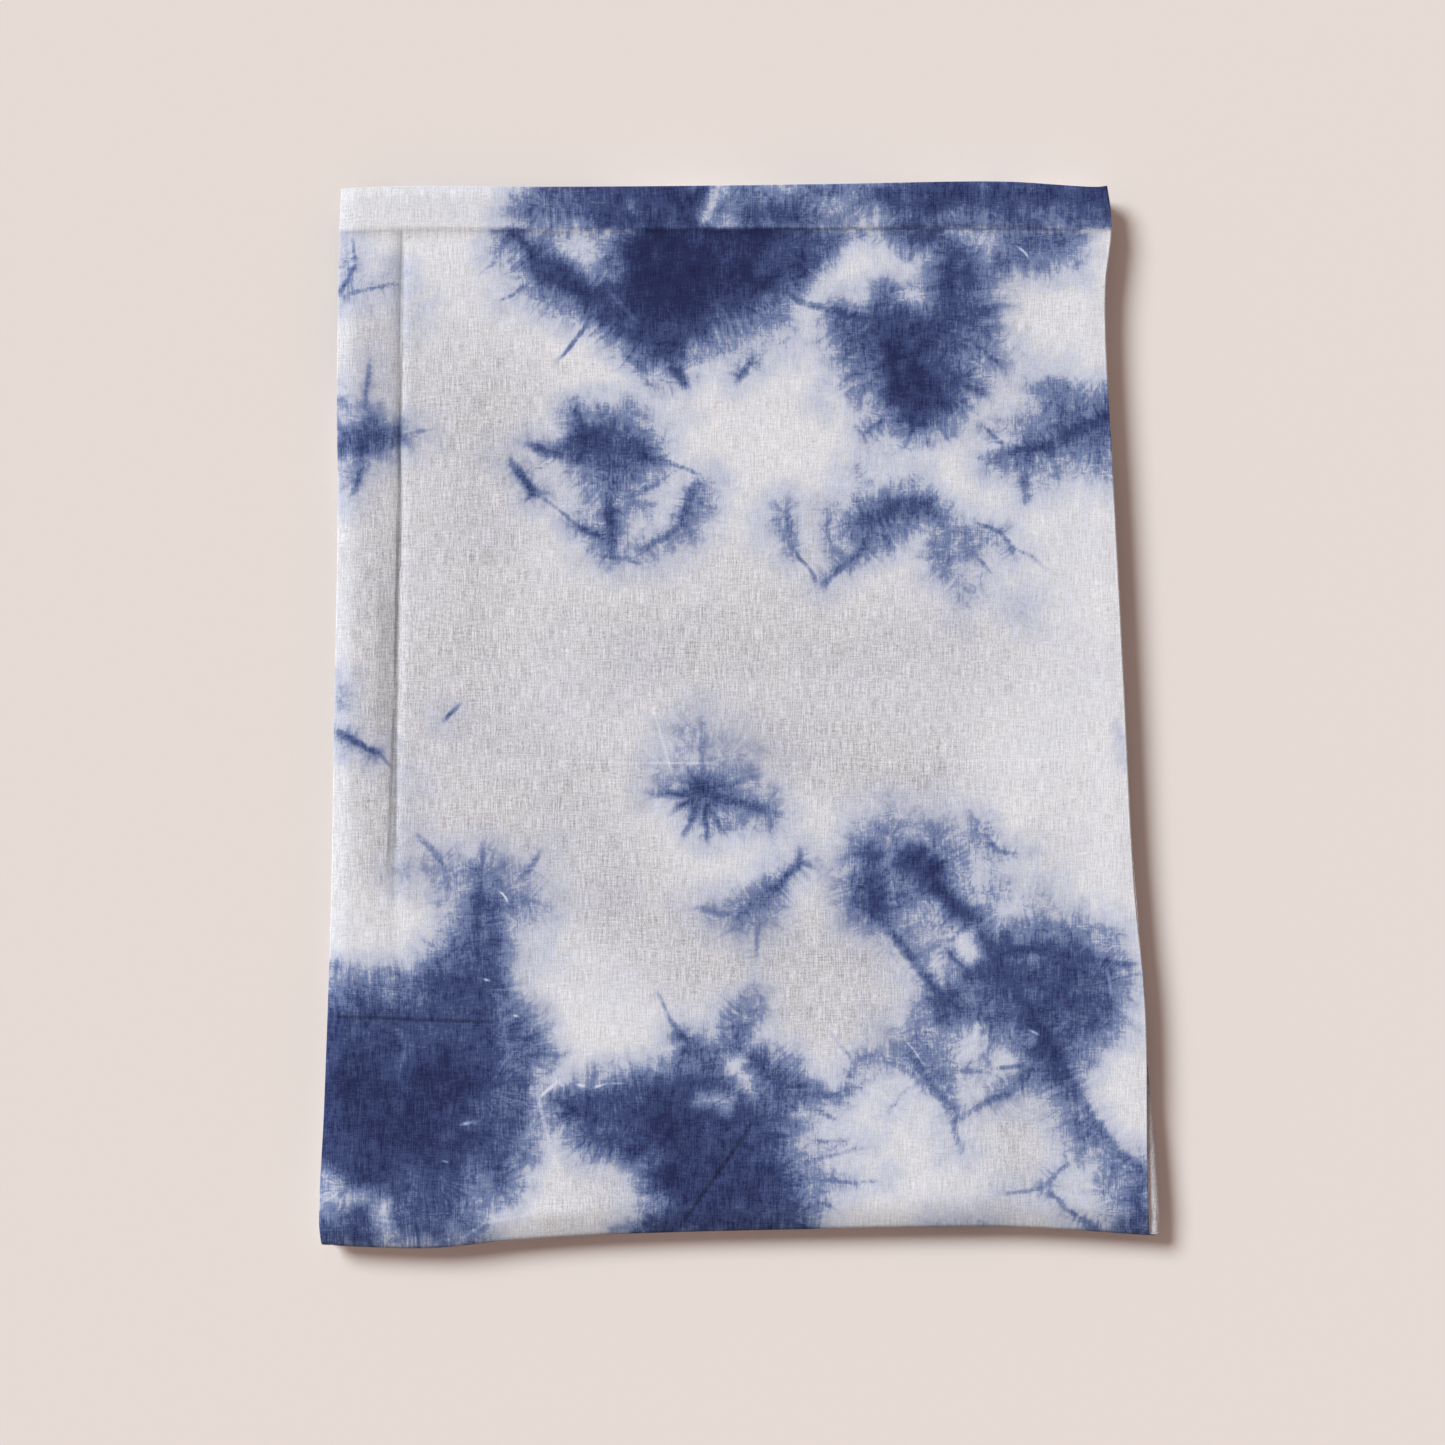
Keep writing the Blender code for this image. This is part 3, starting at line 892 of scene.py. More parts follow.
# The network at the lower right
NET_MARKS = table(
    Mark,
    (864, 848, 9, 870, 862, 11, 0.82, 12),
    (912, 862, 15, 930, 868, 17, 0.92, 15),
    (884, 836, 8, 898, 846, 8, 0.64, 13),
    (892, 874, 10, 914, 898, 10, 0.66, 14),
    (866, 930, 9, 892, 952, 9, 0.44, 17),
    (922, 862, 16, 936, 880, 13, 0.92, 13),
    (872, 888, 15, 880, 906, 15, 0.9, 15),
    (854, 880, 12, 860, 910, 11, 0.64, 15),
    (886, 900, 12, 890, 920, 8, 0.72, 14),
    (936, 884, 11, 966, 912, 9, 0.88, 12),
    (966, 912, 9, 992, 944, 8, 0.82, 12),
    (886, 914, 5, 916, 958, 5, 0.6, 11),
    (916, 958, 5, 944, 996, 6, 0.62, 11),
    (900, 948, 6, 924, 984, 6, 0.16, 15),
    (948, 996, 12, 984, 978, 11, 0.78, 15),
    (972, 972, 6, 994, 958, 9, 0.74, 11),
    (1000, 952, 10, 1070, 952, 12, 0.78, 14),
    (1004, 985, 28, 1088, 986, 34, 0.82, 17),
    (1082, 955, 18, 1100, 1000, 18, 0.76, 16),
    (1106, 938, 8, 1116, 934, 5, 0.46, 13),
    (948, 1012, 15, 1004, 1018, 18, 0.74, 16),
    (1006, 1000, 16, 1044, 1010, 20, 0.8, 15),
    (1038, 1030, 16, 1054, 1056, 14, 0.88, 14),
    (1076, 1022, 14, 1098, 1028, 10, 0.72, 15),
    (1066, 1042, 9, 1074, 1056, 8, 0.6, 14),
    (1054, 1096, 8, 1072, 1128, 9, 0.34, 15),
    (1052, 1060, 14, 1068, 1092, 8, 0.8, 13),
    (1066, 1092, 8, 1080, 1122, 8, 0.54, 14),
    (1078, 1122, 9, 1090, 1146, 9, 0.58, 14),
    (1090, 1130, 5, 1146, 1172, 7, 0.5, 12),
    (914, 1018, 12, 924, 1046, 12, 0.5, 17),
    (922, 1046, 10, 938, 1076, 8, 0.6, 13),
    (938, 1076, 7, 954, 1110, 4, 0.54, 12),
    (957, 1118, 4, 1005, 1088, 5, 0.44, 11),
    (1005, 1086, 5, 1038, 1078, 9, 0.5, 13),
    (952, 1124, 7, 960, 1150, 4, 0.3, 14),
    (850, 1074, 4, 862, 1060, 5, 0.4, 11),
    (865, 1056, 6, 905, 1054, 7, 0.42, 13),
    (905, 1058, 6, 925, 1084, 5, 0.4, 13),
    (843, 1094, 3, 850, 1080, 3, 0.4, 9),
    (890, 1112, 4, 908, 1086, 4, 0.2, 13),
    (978, 826, 5, 984, 846, 6, 0.48, 11),
    (984, 848, 5, 1014, 852, 2, 0.4, 10),
    (955, 862, 8, 992, 866, 4, 0.26, 14),
    (956, 884, 7, 1004, 892, 7, 0.4, 15),
    (1004, 894, 6, 1050, 908, 6, 0.26, 16),
    (1020, 930, 9, 1042, 924, 7, 0.5, 13),
    (1060, 928, 9, 1096, 926, 8, 0.46, 13),
    (930, 826, 6, 938, 846, 10, 0.46, 13),
    (886, 808, 4, 892, 838, 8, 0.3, 14),
    (912, 812, 4, 914, 838, 8, 0.26, 14),
    (860, 826, 5, 866, 846, 6, 0.34, 13),
    (938, 836, 8, 956, 868, 11, 0.62, 15),
    (946, 1040, 9, 950, 1070, 9, 0.52, 13),
    (985, 1030, 10, 1028, 1048, 10, 0.62, 14),
    (940, 1050, 9, 958, 1064, 9, 0.42, 14),
    (1020, 1062, 8, 1040, 1076, 10, 0.56, 14),
    (960, 1068, 6, 985, 1072, 6, 0.34, 12),
    (968, 925, 6, 985, 930, 5, 0.3, 12),
    (1116, 958, 4, 1122, 1000, 4, 0.22, 13),
)
# Inside the ring, and between the lines of the network
RING_WHITES = table(
    Mark,
    (974, 568, 7, 990, 566, 6, 0.5, 10),
    (816, 520, 5, 818, 556, 5, 0.5, 9),
    ray=2,
)
NET_WHITES = table(
    Mark,
    (918, 918, 7, 930, 934, 8, 0.6, 13),
    (964, 944, 10, 972, 954, 9, 0.95, 10),
    (934, 964, 8, 940, 972, 6, 0.82, 11),
    (970, 1034, 9, 971, 1050, 10, 0.92, 11),
    (1002, 1060, 8, 1012, 1062, 7, 0.88, 10),
    (1032, 1038, 4, 1036, 1036, 3, 0.5, 7),
    (899, 1012, 7, 896, 1018, 7, 0.8, 11),
    (985, 1080, 8, 970, 1092, 8, 0.6, 13),
    (1101, 940, 3, 1103, 985, 3, 0.32, 9),
    ray=2,
)
# At the lower end of the right edge
SIDE_MARKS = table(
    Mark,
    (1044, 1188, 4, 1066, 1164, 3, 0.36, 10),
    (1044, 1190, 4, 1075, 1215, 3, 0.44, 9),
    (1010, 1192, 3, 1044, 1190, 3, 0.4, 9),
    (1075, 1215, 3, 1104, 1232, 5, 0.46, 10),
    (1138, 1188, 9, 1142, 1220, 12, 0.7, 14),
    (1118, 1230, 7, 1150, 1230, 8, 0.74, 11),
    (1112, 1160, 7, 1148, 1176, 9, 0.5, 14),
    (1108, 1188, 10, 1118, 1212, 10, 0.36, 18),
    (940, 1222, 9, 986, 1216, 8, 0.18, 18),
)

MARKS = (
    TOP_MARKS,
    HEART_MARKS,
    EDGE_MARKS,
    FLOWER_MARKS,
    RING_MARKS,
    STRIP_MARKS,
    STAR_MARKS,
    CORNER_MARKS,
    FRONT_MARKS,
    NET_MARKS,
    SIDE_MARKS,
)
# Places all over the cloth where the dye is a little paler
PALER = table(
    Mark,
    (822, 300, 10, 838, 304, 10, 0.34, 18),
    (670, 376, 8, 694, 388, 8, 0.34, 16),
    (630, 400, 8, 652, 420, 8, 0.34, 16),
    (600, 336, 8, 616, 338, 8, 0.26, 14),
    (562, 400, 10, 570, 440, 10, 0.24, 20),
    (648, 506, 9, 640, 540, 9, 0.26, 16),
    (845, 506, 7, 860, 530, 7, 0.34, 13),
    (920, 550, 8, 926, 566, 8, 0.28, 14),
    (958, 826, 9, 964, 842, 8, 0.42, 15),
    (846, 846, 8, 852, 852, 8, 0.34, 14),
    (890, 864, 7, 920, 864, 7, 0.24, 14),
    (736, 802, 7, 752, 812, 6, 0.26, 11),
    (720, 836, 10, 700, 842, 10, 0.22, 18),
    (488, 858, 8, 498, 864, 8, 0.34, 14),
    (350, 984, 12, 400, 1044, 14, 0.13, 26),
    (322, 1208, 12, 340, 1214, 10, 0.52, 16),
    (372, 1228, 8, 394, 1222, 8, 0.28, 14),
    (496, 994, 9, 508, 1008, 9, 0.34, 16),
    (490, 1112, 12, 510, 1106, 12, 0.36, 20),
    (560, 1096, 7, 630, 1094, 8, 0.24, 15),
    (566, 1144, 12, 588, 1136, 12, 0.14, 20),
    (716, 1092, 8, 728, 1092, 8, 0.3, 14),
    (750, 1130, 9, 774, 1216, 10, 0.22, 18),
    (822, 1104, 8, 834, 1102, 8, 0.3, 15),
    (880, 1164, 10, 896, 1176, 10, 0.2, 20),
    (990, 1216, 8, 1124, 1214, 8, 0.2, 15),
    (1124, 978, 8, 1132, 984, 8, 0.36, 14),
    (1074, 1084, 8, 1086, 1094, 8, 0.34, 14),
    (1086, 1044, 10, 1120, 1044, 10, 0.18, 22),
    (1030, 918, 7, 1040, 928, 7, 0.26, 13),
    (966, 988, 8, 990, 992, 8, 0.22, 15),
    (968, 584, 8, 990, 600, 8, 0.26, 18),
    ray=2,
)
WHITES = (TOP_WHITES, CORNER_WHITES, FRONT_WHITES, RING_WHITES, NET_WHITES, PALER)

# Thin dye that spread round the marks
HAZES = table(
    Mark,
    (610, 262, 6, 616, 274, 6, 0.62, 13),
    (948, 552, 6, 962, 556, 6, 0.52, 12),
    (1002, 464, 5, 1048, 462, 7, 0.4, 14),
    (716, 220, 7, 734, 222, 7, 0.4, 13),
    (866, 350, 6, 872, 376, 6, 0.36, 15),
    (722, 762, 5, 728, 772, 5, 0.36, 12),
    (758, 788, 5, 776, 780, 5, 0.34, 12),
    (744, 826, 5, 756, 828, 5, 0.32, 11),
    (820, 862, 9, 842, 878, 9, 0.34, 17),
    (328, 966, 7, 338, 972, 7, 0.5, 14),
    (528, 1106, 7, 548, 1126, 7, 0.4, 15),
    (674, 1064, 5, 692, 1064, 5, 0.46, 11),
    (740, 1092, 5, 750, 1096, 5, 0.42, 12),
    (858, 1064, 5, 866, 1078, 5, 0.46, 12),
    (970, 1046, 6, 984, 1058, 6, 0.36, 14),
    (1096, 930, 6, 1112, 938, 6, 0.34, 13),
    (1000, 1100, 10, 1030, 1104, 10, 0.2, 24),
    (870, 1016, 9, 890, 1034, 9, 0.26, 18),
    (926, 936, 6, 960, 934, 6, 0.26, 13),
    (1120, 726, 5, 1124, 764, 5, 0.34, 11),
    (500, 250, 12, 560, 300, 16, 0.34, 26),
    (575, 318, 8, 640, 362, 10, 0.22, 24),
    (700, 345, 14, 776, 328, 14, 0.3, 27),
    (800, 280, 8, 834, 250, 8, 0.22, 22),
    (838, 345, 14, 858, 390, 8, 0.32, 24),
    (985, 270, 12, 1000, 350, 14, 0.38, 27),
    (880, 428, 12, 945, 428, 11, 0.36, 24),
    (914, 240, 8, 925, 250, 8, 0.3, 18),
    (1028, 432, 14, 1060, 420, 18, 0.36, 27),
    (850, 244, 8, 900, 252, 8, 0.28, 20),
    (1098, 404, 12, 1108, 466, 12, 0.2, 27),
    (1020, 480, 8, 1060, 482, 8, 0.22, 24),
    (580, 434, 18, 640, 434, 18, 0.28, 26),
    (582, 496, 18, 600, 536, 12, 0.3, 26),
    (704, 502, 10, 692, 542, 8, 0.24, 22),
    (640, 556, 10, 684, 546, 9, 0.3, 24),
    (536, 488, 7, 560, 522, 8, 0.18, 22),
    (780, 522, 9, 790, 556, 8, 0.36, 22),
    (866, 508, 12, 930, 506, 10, 0.3, 24),
    (852, 556, 7, 900, 538, 13, 0.32, 22),
    (944, 548, 10, 954, 584, 10, 0.24, 20),
    (990, 536, 8, 1014, 560, 6, 0.18, 20),
    (962, 602, 10, 990, 592, 8, 0.28, 21),
    (345, 402, 12, 390, 430, 12, 0.36, 27),
    (345, 482, 8, 380, 462, 9, 0.34, 24),
    (344, 262, 7, 346, 290, 7, 0.28, 19),
    (402, 425, 7, 424, 432, 5, 0.18, 19),
    (338, 740, 6, 376, 756, 6, 0.28, 18),
    (660, 782, 14, 752, 782, 17, 0.36, 30),
    (690, 738, 16, 744, 744, 16, 0.36, 34),
    (740, 828, 8, 760, 822, 8, 0.24, 24),
    (764, 766, 8, 790, 762, 7, 0.3, 22),
    (866, 800, 16, 930, 796, 14, 0.2, 30),
    (720, 912, 11, 772, 906, 12, 0.32, 26),
    (750, 950, 8, 755, 990, 9, 0.24, 24),
    (742, 1002, 13, 735, 1030, 13, 0.34, 27),
    (410, 868, 18, 470, 872, 18, 0.3, 34),
    (530, 896, 12, 556, 908, 9, 0.34, 27),
    (542, 924, 10, 556, 960, 10, 0.2, 28),
    (438, 904, 9, 450, 916, 9, 0.32, 20),
    (456, 948, 10, 500, 964, 10, 0.3, 24),
    (360, 990, 10, 420, 978, 10, 0.26, 22),
    (532, 1016, 14, 542, 1046, 12, 0.44, 24),
    (524, 1150, 8, 532, 1166, 8, 0.3, 20),
    (504, 1182, 8, 490, 1200, 7, 0.3, 22),
    (596, 1074, 6, 680, 1062, 8, 0.26, 20),
    (790, 1050, 8, 802, 1062, 8, 0.3, 20),
    (604, 1148, 8, 634, 1170, 7, 0.32, 20),
    (816, 1102, 8, 850, 1092, 7, 0.3, 22),
    (812, 1156, 8, 818, 1192, 9, 0.3, 22),
    (612, 1232, 6, 660, 1232, 8, 0.48, 14),
    (742, 1044, 8, 756, 1050, 8, 0.36, 20),
    (850, 850, 12, 850, 920, 10, 0.38, 27),
    (900, 820, 10, 960, 832, 10, 0.34, 27),
    (964, 856, 10, 990, 868, 8, 0.22, 26),
    (912, 972, 8, 932, 1006, 9, 0.28, 22),
    (922, 932, 16, 950, 960, 16, 0.44, 21),
    (1000, 930, 12, 1060, 925, 13, 0.44, 27),
    (1120, 962, 5, 1126, 1000, 5, 0.3, 18),
    (1054, 1090, 14, 1080, 1130, 14, 0.34, 27),
    (1084, 1040, 12, 1090, 1060, 8, 0.34, 24),
    (1000, 1080, 11, 1040, 1075, 11, 0.32, 24),
    (912, 1036, 12, 932, 1076, 8, 0.26, 26),
    (964, 1080, 8, 990, 1088, 8, 0.2, 24),
    (1008, 1108, 10, 1044, 1108, 9, 0.18, 24),
    (876, 1030, 10, 890, 1040, 10, 0.3, 22),
    (868, 1068, 6, 880, 1070, 6, 0.3, 18),
    (860, 1072, 9, 922, 1066, 10, 0.26, 24),
    (1090, 1048, 8, 1132, 1040, 7, 0.22, 24),
    (1110, 1170, 12, 1146, 1180, 9, 0.38, 24),
    (1126, 1200, 12, 1136, 1214, 12, 0.34, 22),
    (940, 1226, 8, 1000, 1220, 8, 0.24, 21),
    (552, 242, 14, 612, 240, 12, 0.26, 16),
    (508, 232, 10, 516, 262, 10, 0.3, 16),
    (918, 920, 20, 950, 950, 16, 0.34, 20),
    (880, 816, 12, 940, 818, 12, 0.2, 24),
    (978, 834, 8, 996, 850, 8, 0.18, 20),
    (1030, 850, 14, 1052, 900, 14, 0.22, 26),
    (420, 870, 20, 540, 870, 22, 0.22, 28),
    (560, 890, 12, 640, 896, 10, 0.12, 22),
    (640, 650, 12, 660, 670, 10, 0.1, 22),
    (1010, 530, 20, 1020, 590, 18, 0.12, 24),
)


class Vein(NamedTuple):
    """A thin line of dye that a crease left, in the photo's pixels: its half-width and its strength."""

    x0: float
    y0: float
    x1: float
    y1: float
    half: float
    dark: float
    bow: float = 0.0


VEINS = table(
    Vein,
    (589, 321, 555, 361, 2.2, 0.43),
    (478, 277, 496, 260, 1.7, 0.19),
    (498, 299, 532, 284, 1.7, 0.22),
    (512, 224, 541, 272, 4.2, 0.4),
    (541, 272, 604, 302, 4.2, 0.32),
    (738, 382, 752, 355, 3.1, 0.36),
    (727, 371, 744, 375, 2.0, 0.24),
    (673, 362, 689, 389, 3.9, 0.5),
    (618, 350, 652, 373, 3.1, 0.22),
    (783, 291, 830, 313, 3.0, 0.38),
    (828, 312, 872, 319, 4.5, 0.4),
    (865, 434, 886, 416, 2.6, 0.3),
    (926, 426, 931, 448, 2.1, 0.24),
    (934, 417, 951, 441, 2.0, 0.24),
    (1003, 367, 970, 343, 2.2, 0.26),
    (940, 226, 903, 264, 3.1, 0.24),
    (988, 396, 966, 386, 3.4, 0.36),
    (984, 424, 1003, 446, 2.0, 0.22),
    (989, 457, 1062, 442, 5.0, 0.36),
    (1058, 443, 1112, 413, 5.6, 0.32),
    (1020, 466, 1030, 507, 4.2, 0.27),
    (575, 406, 586, 433, 3.4, 0.26),
    (527, 444, 563, 455, 4.2, 0.4),
    (509, 459, 541, 497, 3.9, 0.43),
    (527, 502, 536, 490, 2.2, 0.29),
    (540, 496, 583, 528, 1.8, 0.26),
    (576, 524, 606, 538, 3.6, 0.4),
    (655, 459, 702, 475, 2.1, 0.26),
    (608, 494, 613, 558, 4.2, 0.4),
    (620, 502, 663, 478, 3.1, 0.2),
    (684, 521, 643, 548, 3.6, 0.36),
    (600, 557, 644, 563, 2.2, 0.26),
    (702, 480, 684, 520, 4.5, 0.29, -3.0),
    (786, 508, 790, 547, 3.4, 0.22),
    (790, 545, 818, 589, 2.4, 0.36, 3.0),
    (820, 587, 850, 560, 3.0, 0.34),
    (848, 560, 872, 534, 4.2, 0.32),
    (828, 505, 832, 551, 2.2, 0.16),
    (934, 536, 944, 562, 2.5, 0.16, -3.0),
    (974, 522, 1014, 548, 2.2, 0.24, 4.0),
    (1012, 545, 1047, 568, 1.8, 0.22),
    (1000, 537, 1017, 561, 2.4, 0.16, 3.0),
    (974, 555, 996, 577, 1.7, 0.17),
    (372, 354, 366, 411, 2.6, 0.22),
    (336, 296, 357, 261, 2.2, 0.3),
    (356, 263, 352, 238, 2.0, 0.2),
    (338, 294, 399, 284, 2.2, 0.19),
    (398, 437, 442, 424, 1.8, 0.2),
    (361, 468, 352, 497, 3.4, 0.29),
    (333, 730, 381, 754, 3.1, 0.43),
    (378, 752, 394, 771, 2.0, 0.27),
    (442, 722, 462, 702, 2.7, 0.43),
    (706, 791, 648, 793, 4.2, 0.3),
    (703, 789, 772, 813, 5.0, 0.3),
    (705, 795, 681, 840, 3.1, 0.32),
    (706, 795, 706, 844, 2.4, 0.37),
    (707, 795, 722, 836, 2.5, 0.32),
    (704, 792, 700, 710, 2.8, 0.19),
    (708, 788, 766, 773, 3.1, 0.22),
    (702, 793, 666, 817, 2.5, 0.2),
    (702, 788, 674, 742, 2.5, 0.17),
    (770, 894, 801, 857, 4.2, 0.37),
    (688, 905, 737, 915, 3.1, 0.24),
    (757, 922, 757, 960, 2.4, 0.23),
    (796, 861, 816, 867, 2.2, 0.2),
    (736, 925, 698, 948, 2.2, 0.13),
    (415, 830, 446, 870, 3.1, 0.26),
    (482, 840, 480, 902, 2.5, 0.24),
    (543, 848, 514, 882, 3.1, 0.26),
    (476, 898, 474, 948, 3.4, 0.22),
    (374, 1052, 378, 1150, 5.6, 0.22),
    (653, 988, 669, 1016, 2.2, 0.29, 1.5),
    (667, 1013, 685, 1044, 3.1, 0.4),
    (545, 1098, 604, 1120, 4.5, 0.18),
    (700, 1085, 737, 1077, 2.0, 0.22),
    (796, 1094, 845, 1094, 3.0, 0.22),
    (800, 1180, 884, 1181, 2.0, 0.18),
    (798, 1166, 870, 1147, 2.4, 0.17),
    (804, 1143, 847, 1141, 2.2, 0.16),
    (810, 1107, 840, 1121, 2.0, 0.16),
    (806, 1195, 834, 1209, 2.4, 0.22),
    (886, 923, 919, 967, 4.5, 0.4),
    (916, 963, 950, 1005, 4.5, 0.4),
    (928, 883, 978, 926, 5.9, 0.32),
    (974, 922, 1021, 993, 5.6, 0.3),
    (1000, 946, 1064, 956, 3.1, 0.4),
    (1060, 955, 1145, 966, 2.4, 0.3),
    (1018, 989, 1046, 1041, 5.9, 0.3),
    (1043, 1037, 1078, 1099, 5.6, 0.32),
    (1075, 1095, 1110, 1143, 4.2, 0.24),
    (1107, 1140, 1147, 1174, 4.6, 0.27),
    (905, 1047, 957, 1121, 4.5, 0.35),
    (954, 1120, 1027, 1083, 3.2, 0.22),
    (955, 1118, 961, 1160, 3.1, 0.2),
    (849, 1065, 880, 1055, 3.0, 0.18, 2.0),
    (878, 1055, 925, 1086, 3.0, 0.16, 3.0),
    (842, 1096, 852, 1066, 2.4, 0.18),
    (826, 1028, 853, 1063, 2.1, 0.2),
    (993, 1069, 1024, 1064, 2.2, 0.35),
    (953, 1070, 987, 1072, 2.1, 0.23),
    (889, 1112, 908, 1086, 2.4, 0.16),
    (944, 949, 963, 969, 2.4, 0.35),
    (984, 836, 1001, 854, 3.1, 0.26),
    (999, 853, 1019, 851, 2.1, 0.2),
    (1045, 1188, 1003, 1195, 2.0, 0.22),
    (1044, 1189, 1071, 1162, 2.2, 0.22),
    (1043, 1188, 1085, 1222, 2.4, 0.26),
    (1083, 1219, 1101, 1234, 4.2, 0.32),
)

VEIN_WIDE = 1.7  # in half-widths, where a vein has faded out sideways
HALO_REACH = 22.0  # how far thin dye spreads past a mark's edge, in pixels
VEIN_REACH = 9.0  # how far past its own width a vein keeps its place in an attribute, in pixels
VEIN_FAR = 12.0  # the offset, in half-widths, of a point that no vein is near
VEIN_TAPER = 0.22  # the share of its length over which a vein fades at each end
VEIN_PAST = 3.0  # how far past its ends it shows, in pixels
HALO = 0.42  # the strength of the thin dye round a mark
SOFTNESS = 1.15  # what every mark's own softness is multiplied by
DYE_CURVE = 1.25  # over 1, so that thin dye is thinner and only the middle of a blot is dark

# Shade painted along creases and edges, and how far it reaches. Under 0 it is light
CREASE_SHADE = 0.42
CREASE_REACH = 5.0
FRONT_SHADE = 0.44
FRONT_REACH = 11.0
# Under 0: a painted highlight along the left edge's rolled rim, and painted light along the right edge
RIM_SHADE = -0.14
RIM_REACH = 2.2
BAND_SHADE = 0.10
BAND_SHADE_IN = 1.6  # how far in front of the band its shade lies
BAND_SHADE_WIDTH = 2.6
RIGHT_SHADE = -0.055
RIGHT_REACH = 16.0

# How the marks are moved and blended, in pixels
BAND_BLUR = 2.5  # half the width over which the band's dye gives way to the panel's
BAND_KEEP = 2.0  # how far either one keeps from the line between them
MARK_WARP = (3.5, 1.8)  # how far the marks' places are moved, broadly and narrowly
VEIN_WARP = (2.5, 0.6)
BROAD_WARP = 23.0  # over what distance
NARROW_WARP = 9.0

# Thin lines of painted shade along creases, with a strength over 0, and pale threads and lint, with one
# under 0
LINES = table(
    Vein,
    (403, 236, 402, 340, 1.6, 0.16),
    (402, 330, 398, 510, 1.8, 0.4),
    (398, 500, 394, 700, 1.8, 0.42),
    (394, 690, 387, 880, 1.8, 0.32),
    (356, 227, 700, 228, 1.6, 0.12),
    (690, 228, 1112, 229, 1.6, 0.28),
    (327, 1016, 500, 1022, 2.2, 0.42),
    (757, 1117, 678, 1229, 2.6, 0.4),
    (386, 575, 381, 745, 9.5, 0.2),
    (414, 300, 410, 520, 9.0, 0.06),
    (404, 240, 416, 232, 1.6, 0.14),
    (647, 689, 674, 780, 1.6, -0.3),
    (549, 762, 725, 763, 1.3, -0.3),
    (725, 763, 1100, 759, 1.3, -0.2),
    (1016, 246, 1029, 259, 1.5, -0.55, 2.0),
    (498, 890, 508, 903, 1.3, -0.6, 1.5),
    (484, 979, 488, 980, 1.5, -0.75),
    (514, 1015, 517, 1016, 1.5, -0.7),
    (462, 1124, 472, 1122, 1.9, -0.6),
    (444, 1161, 447, 1162, 1.4, -0.6),
    (539, 1097, 558, 1081, 1.8, -0.55),
    (576, 1084, 586, 1086, 1.6, -0.55),
    (592, 1088, 604, 1084, 1.5, -0.55),
    (611, 1083, 622, 1083, 1.4, -0.45),
    (604, 285, 642, 327, 2.8, -0.13),
    (905, 1040, 925, 1068, 1.2, -0.34, 1.5),
    (1108, 968, 1112, 1000, 2.2, -0.3),
    (1030, 1030, 1038, 1034, 1.7, -0.55),
    (537, 1094, 546, 1128, 2.4, -0.24),
    (545, 1126, 556, 1164, 2.4, -0.16),
    # A painted highlight along the ridge of the crease at the front left
    (458, 1241, 486, 1222, 2.2, -0.22),
    (484, 1223, 543, 1211, 2.2, -0.24),
)

# Where the top ply is sheer: grey painted into its colour for the shade of the plies under it
SHEER_SHADE_MARKS = table(
    Mark,
    (500, 882, 16, 590, 880, 18, 0.6, 34),
    (376, 890, 9, 380, 934, 9, 0.5, 20),
    (600, 764, 18, 640, 776, 18, 0.6, 36),
    (520, 950, 14, 530, 1010, 14, 0.5, 26),
    (372, 330, 20, 378, 860, 20, 0.85, 32),
    (480, 400, 60, 470, 720, 60, 0.8, 72),
    (620, 650, 70, 950, 650, 60, 0.75, 80),
    (560, 800, 50, 620, 900, 50, 0.85, 72),
    (420, 812, 22, 520, 822, 22, 0.8, 44),
    (640, 930, 18, 770, 936, 20, 0.8, 40),
    (822, 856, 14, 832, 896, 14, 0.7, 30),
    (404, 580, 14, 402, 780, 14, 0.55, 26),
    (690, 560, 30, 770, 590, 24, 0.5, 50),
    (740, 745, 30, 920, 775, 38, 1.0, 60),
    (374, 570, 12, 380, 730, 14, 0.6, 20),
    (410, 300, 8, 412, 520, 8, 0.55, 24),
    (372, 790, 14, 420, 880, 18, 0.75, 40),
    (800, 1010, 24, 870, 1030, 24, 0.8, 40),
    (1040, 840, 18, 1050, 900, 16, 0.5, 34),
    (700, 965, 34, 860, 960, 44, 0.85, 52),
    (1020, 1110, 28, 1010, 1190, 26, 0.7, 58),
    (590, 1190, 30, 610, 1200, 30, 0.55, 52),
    (812, 505, 6, 815, 555, 5, 0.7, 17),
    (1010, 250, 20, 1000, 400, 24, 0.45, 44),
    ray=0,
)


class Seed:
    """The seeds of the noise. The marks of a table count on from its seed, a whole step each."""

    WARP_X = (3.0, 5.0)
    WARP_Y = (7.0, 9.0)
    MOTTLE = 11.0
    TINT = 17.0
    MARKS = 20.0
    PATCHY = 29.0
    HIDDEN = (31.0, 33.0, 35.0)
    FINE = 43.0
    WHITES = 400.0
    HAZES = 500.0
    BAND_MARKS = 600.0
    BAND_WHITES = 650.0
    SHEER_SHADE = 700.0


def lattice(column, row, seed):
    """A fixed random number from -1 to 1 for each whole column and row."""
    mixed = np.sin(column * 127.1 + row * 311.7 + seed * 74.7) * 43758.5453
    return (mixed - np.floor(mixed)) * 2.0 - 1.0


def noise(x, y, seed):
    """Smooth random values from -1 to 1 that change over a distance of about 1."""
    column, row = np.floor(x), np.floor(y)
    u, v = x - column, y - row
    u, v = u * u * (3.0 - 2.0 * u), v * v * (3.0 - 2.0 * v)
    near = lattice(column, row, seed) * (1.0 - u) + lattice(column + 1, row, seed) * u
    far = lattice(column, row + 1, seed) * (1.0 - u) + lattice(column + 1, row + 1, seed) * u
    return near * (1.0 - v) + far * v


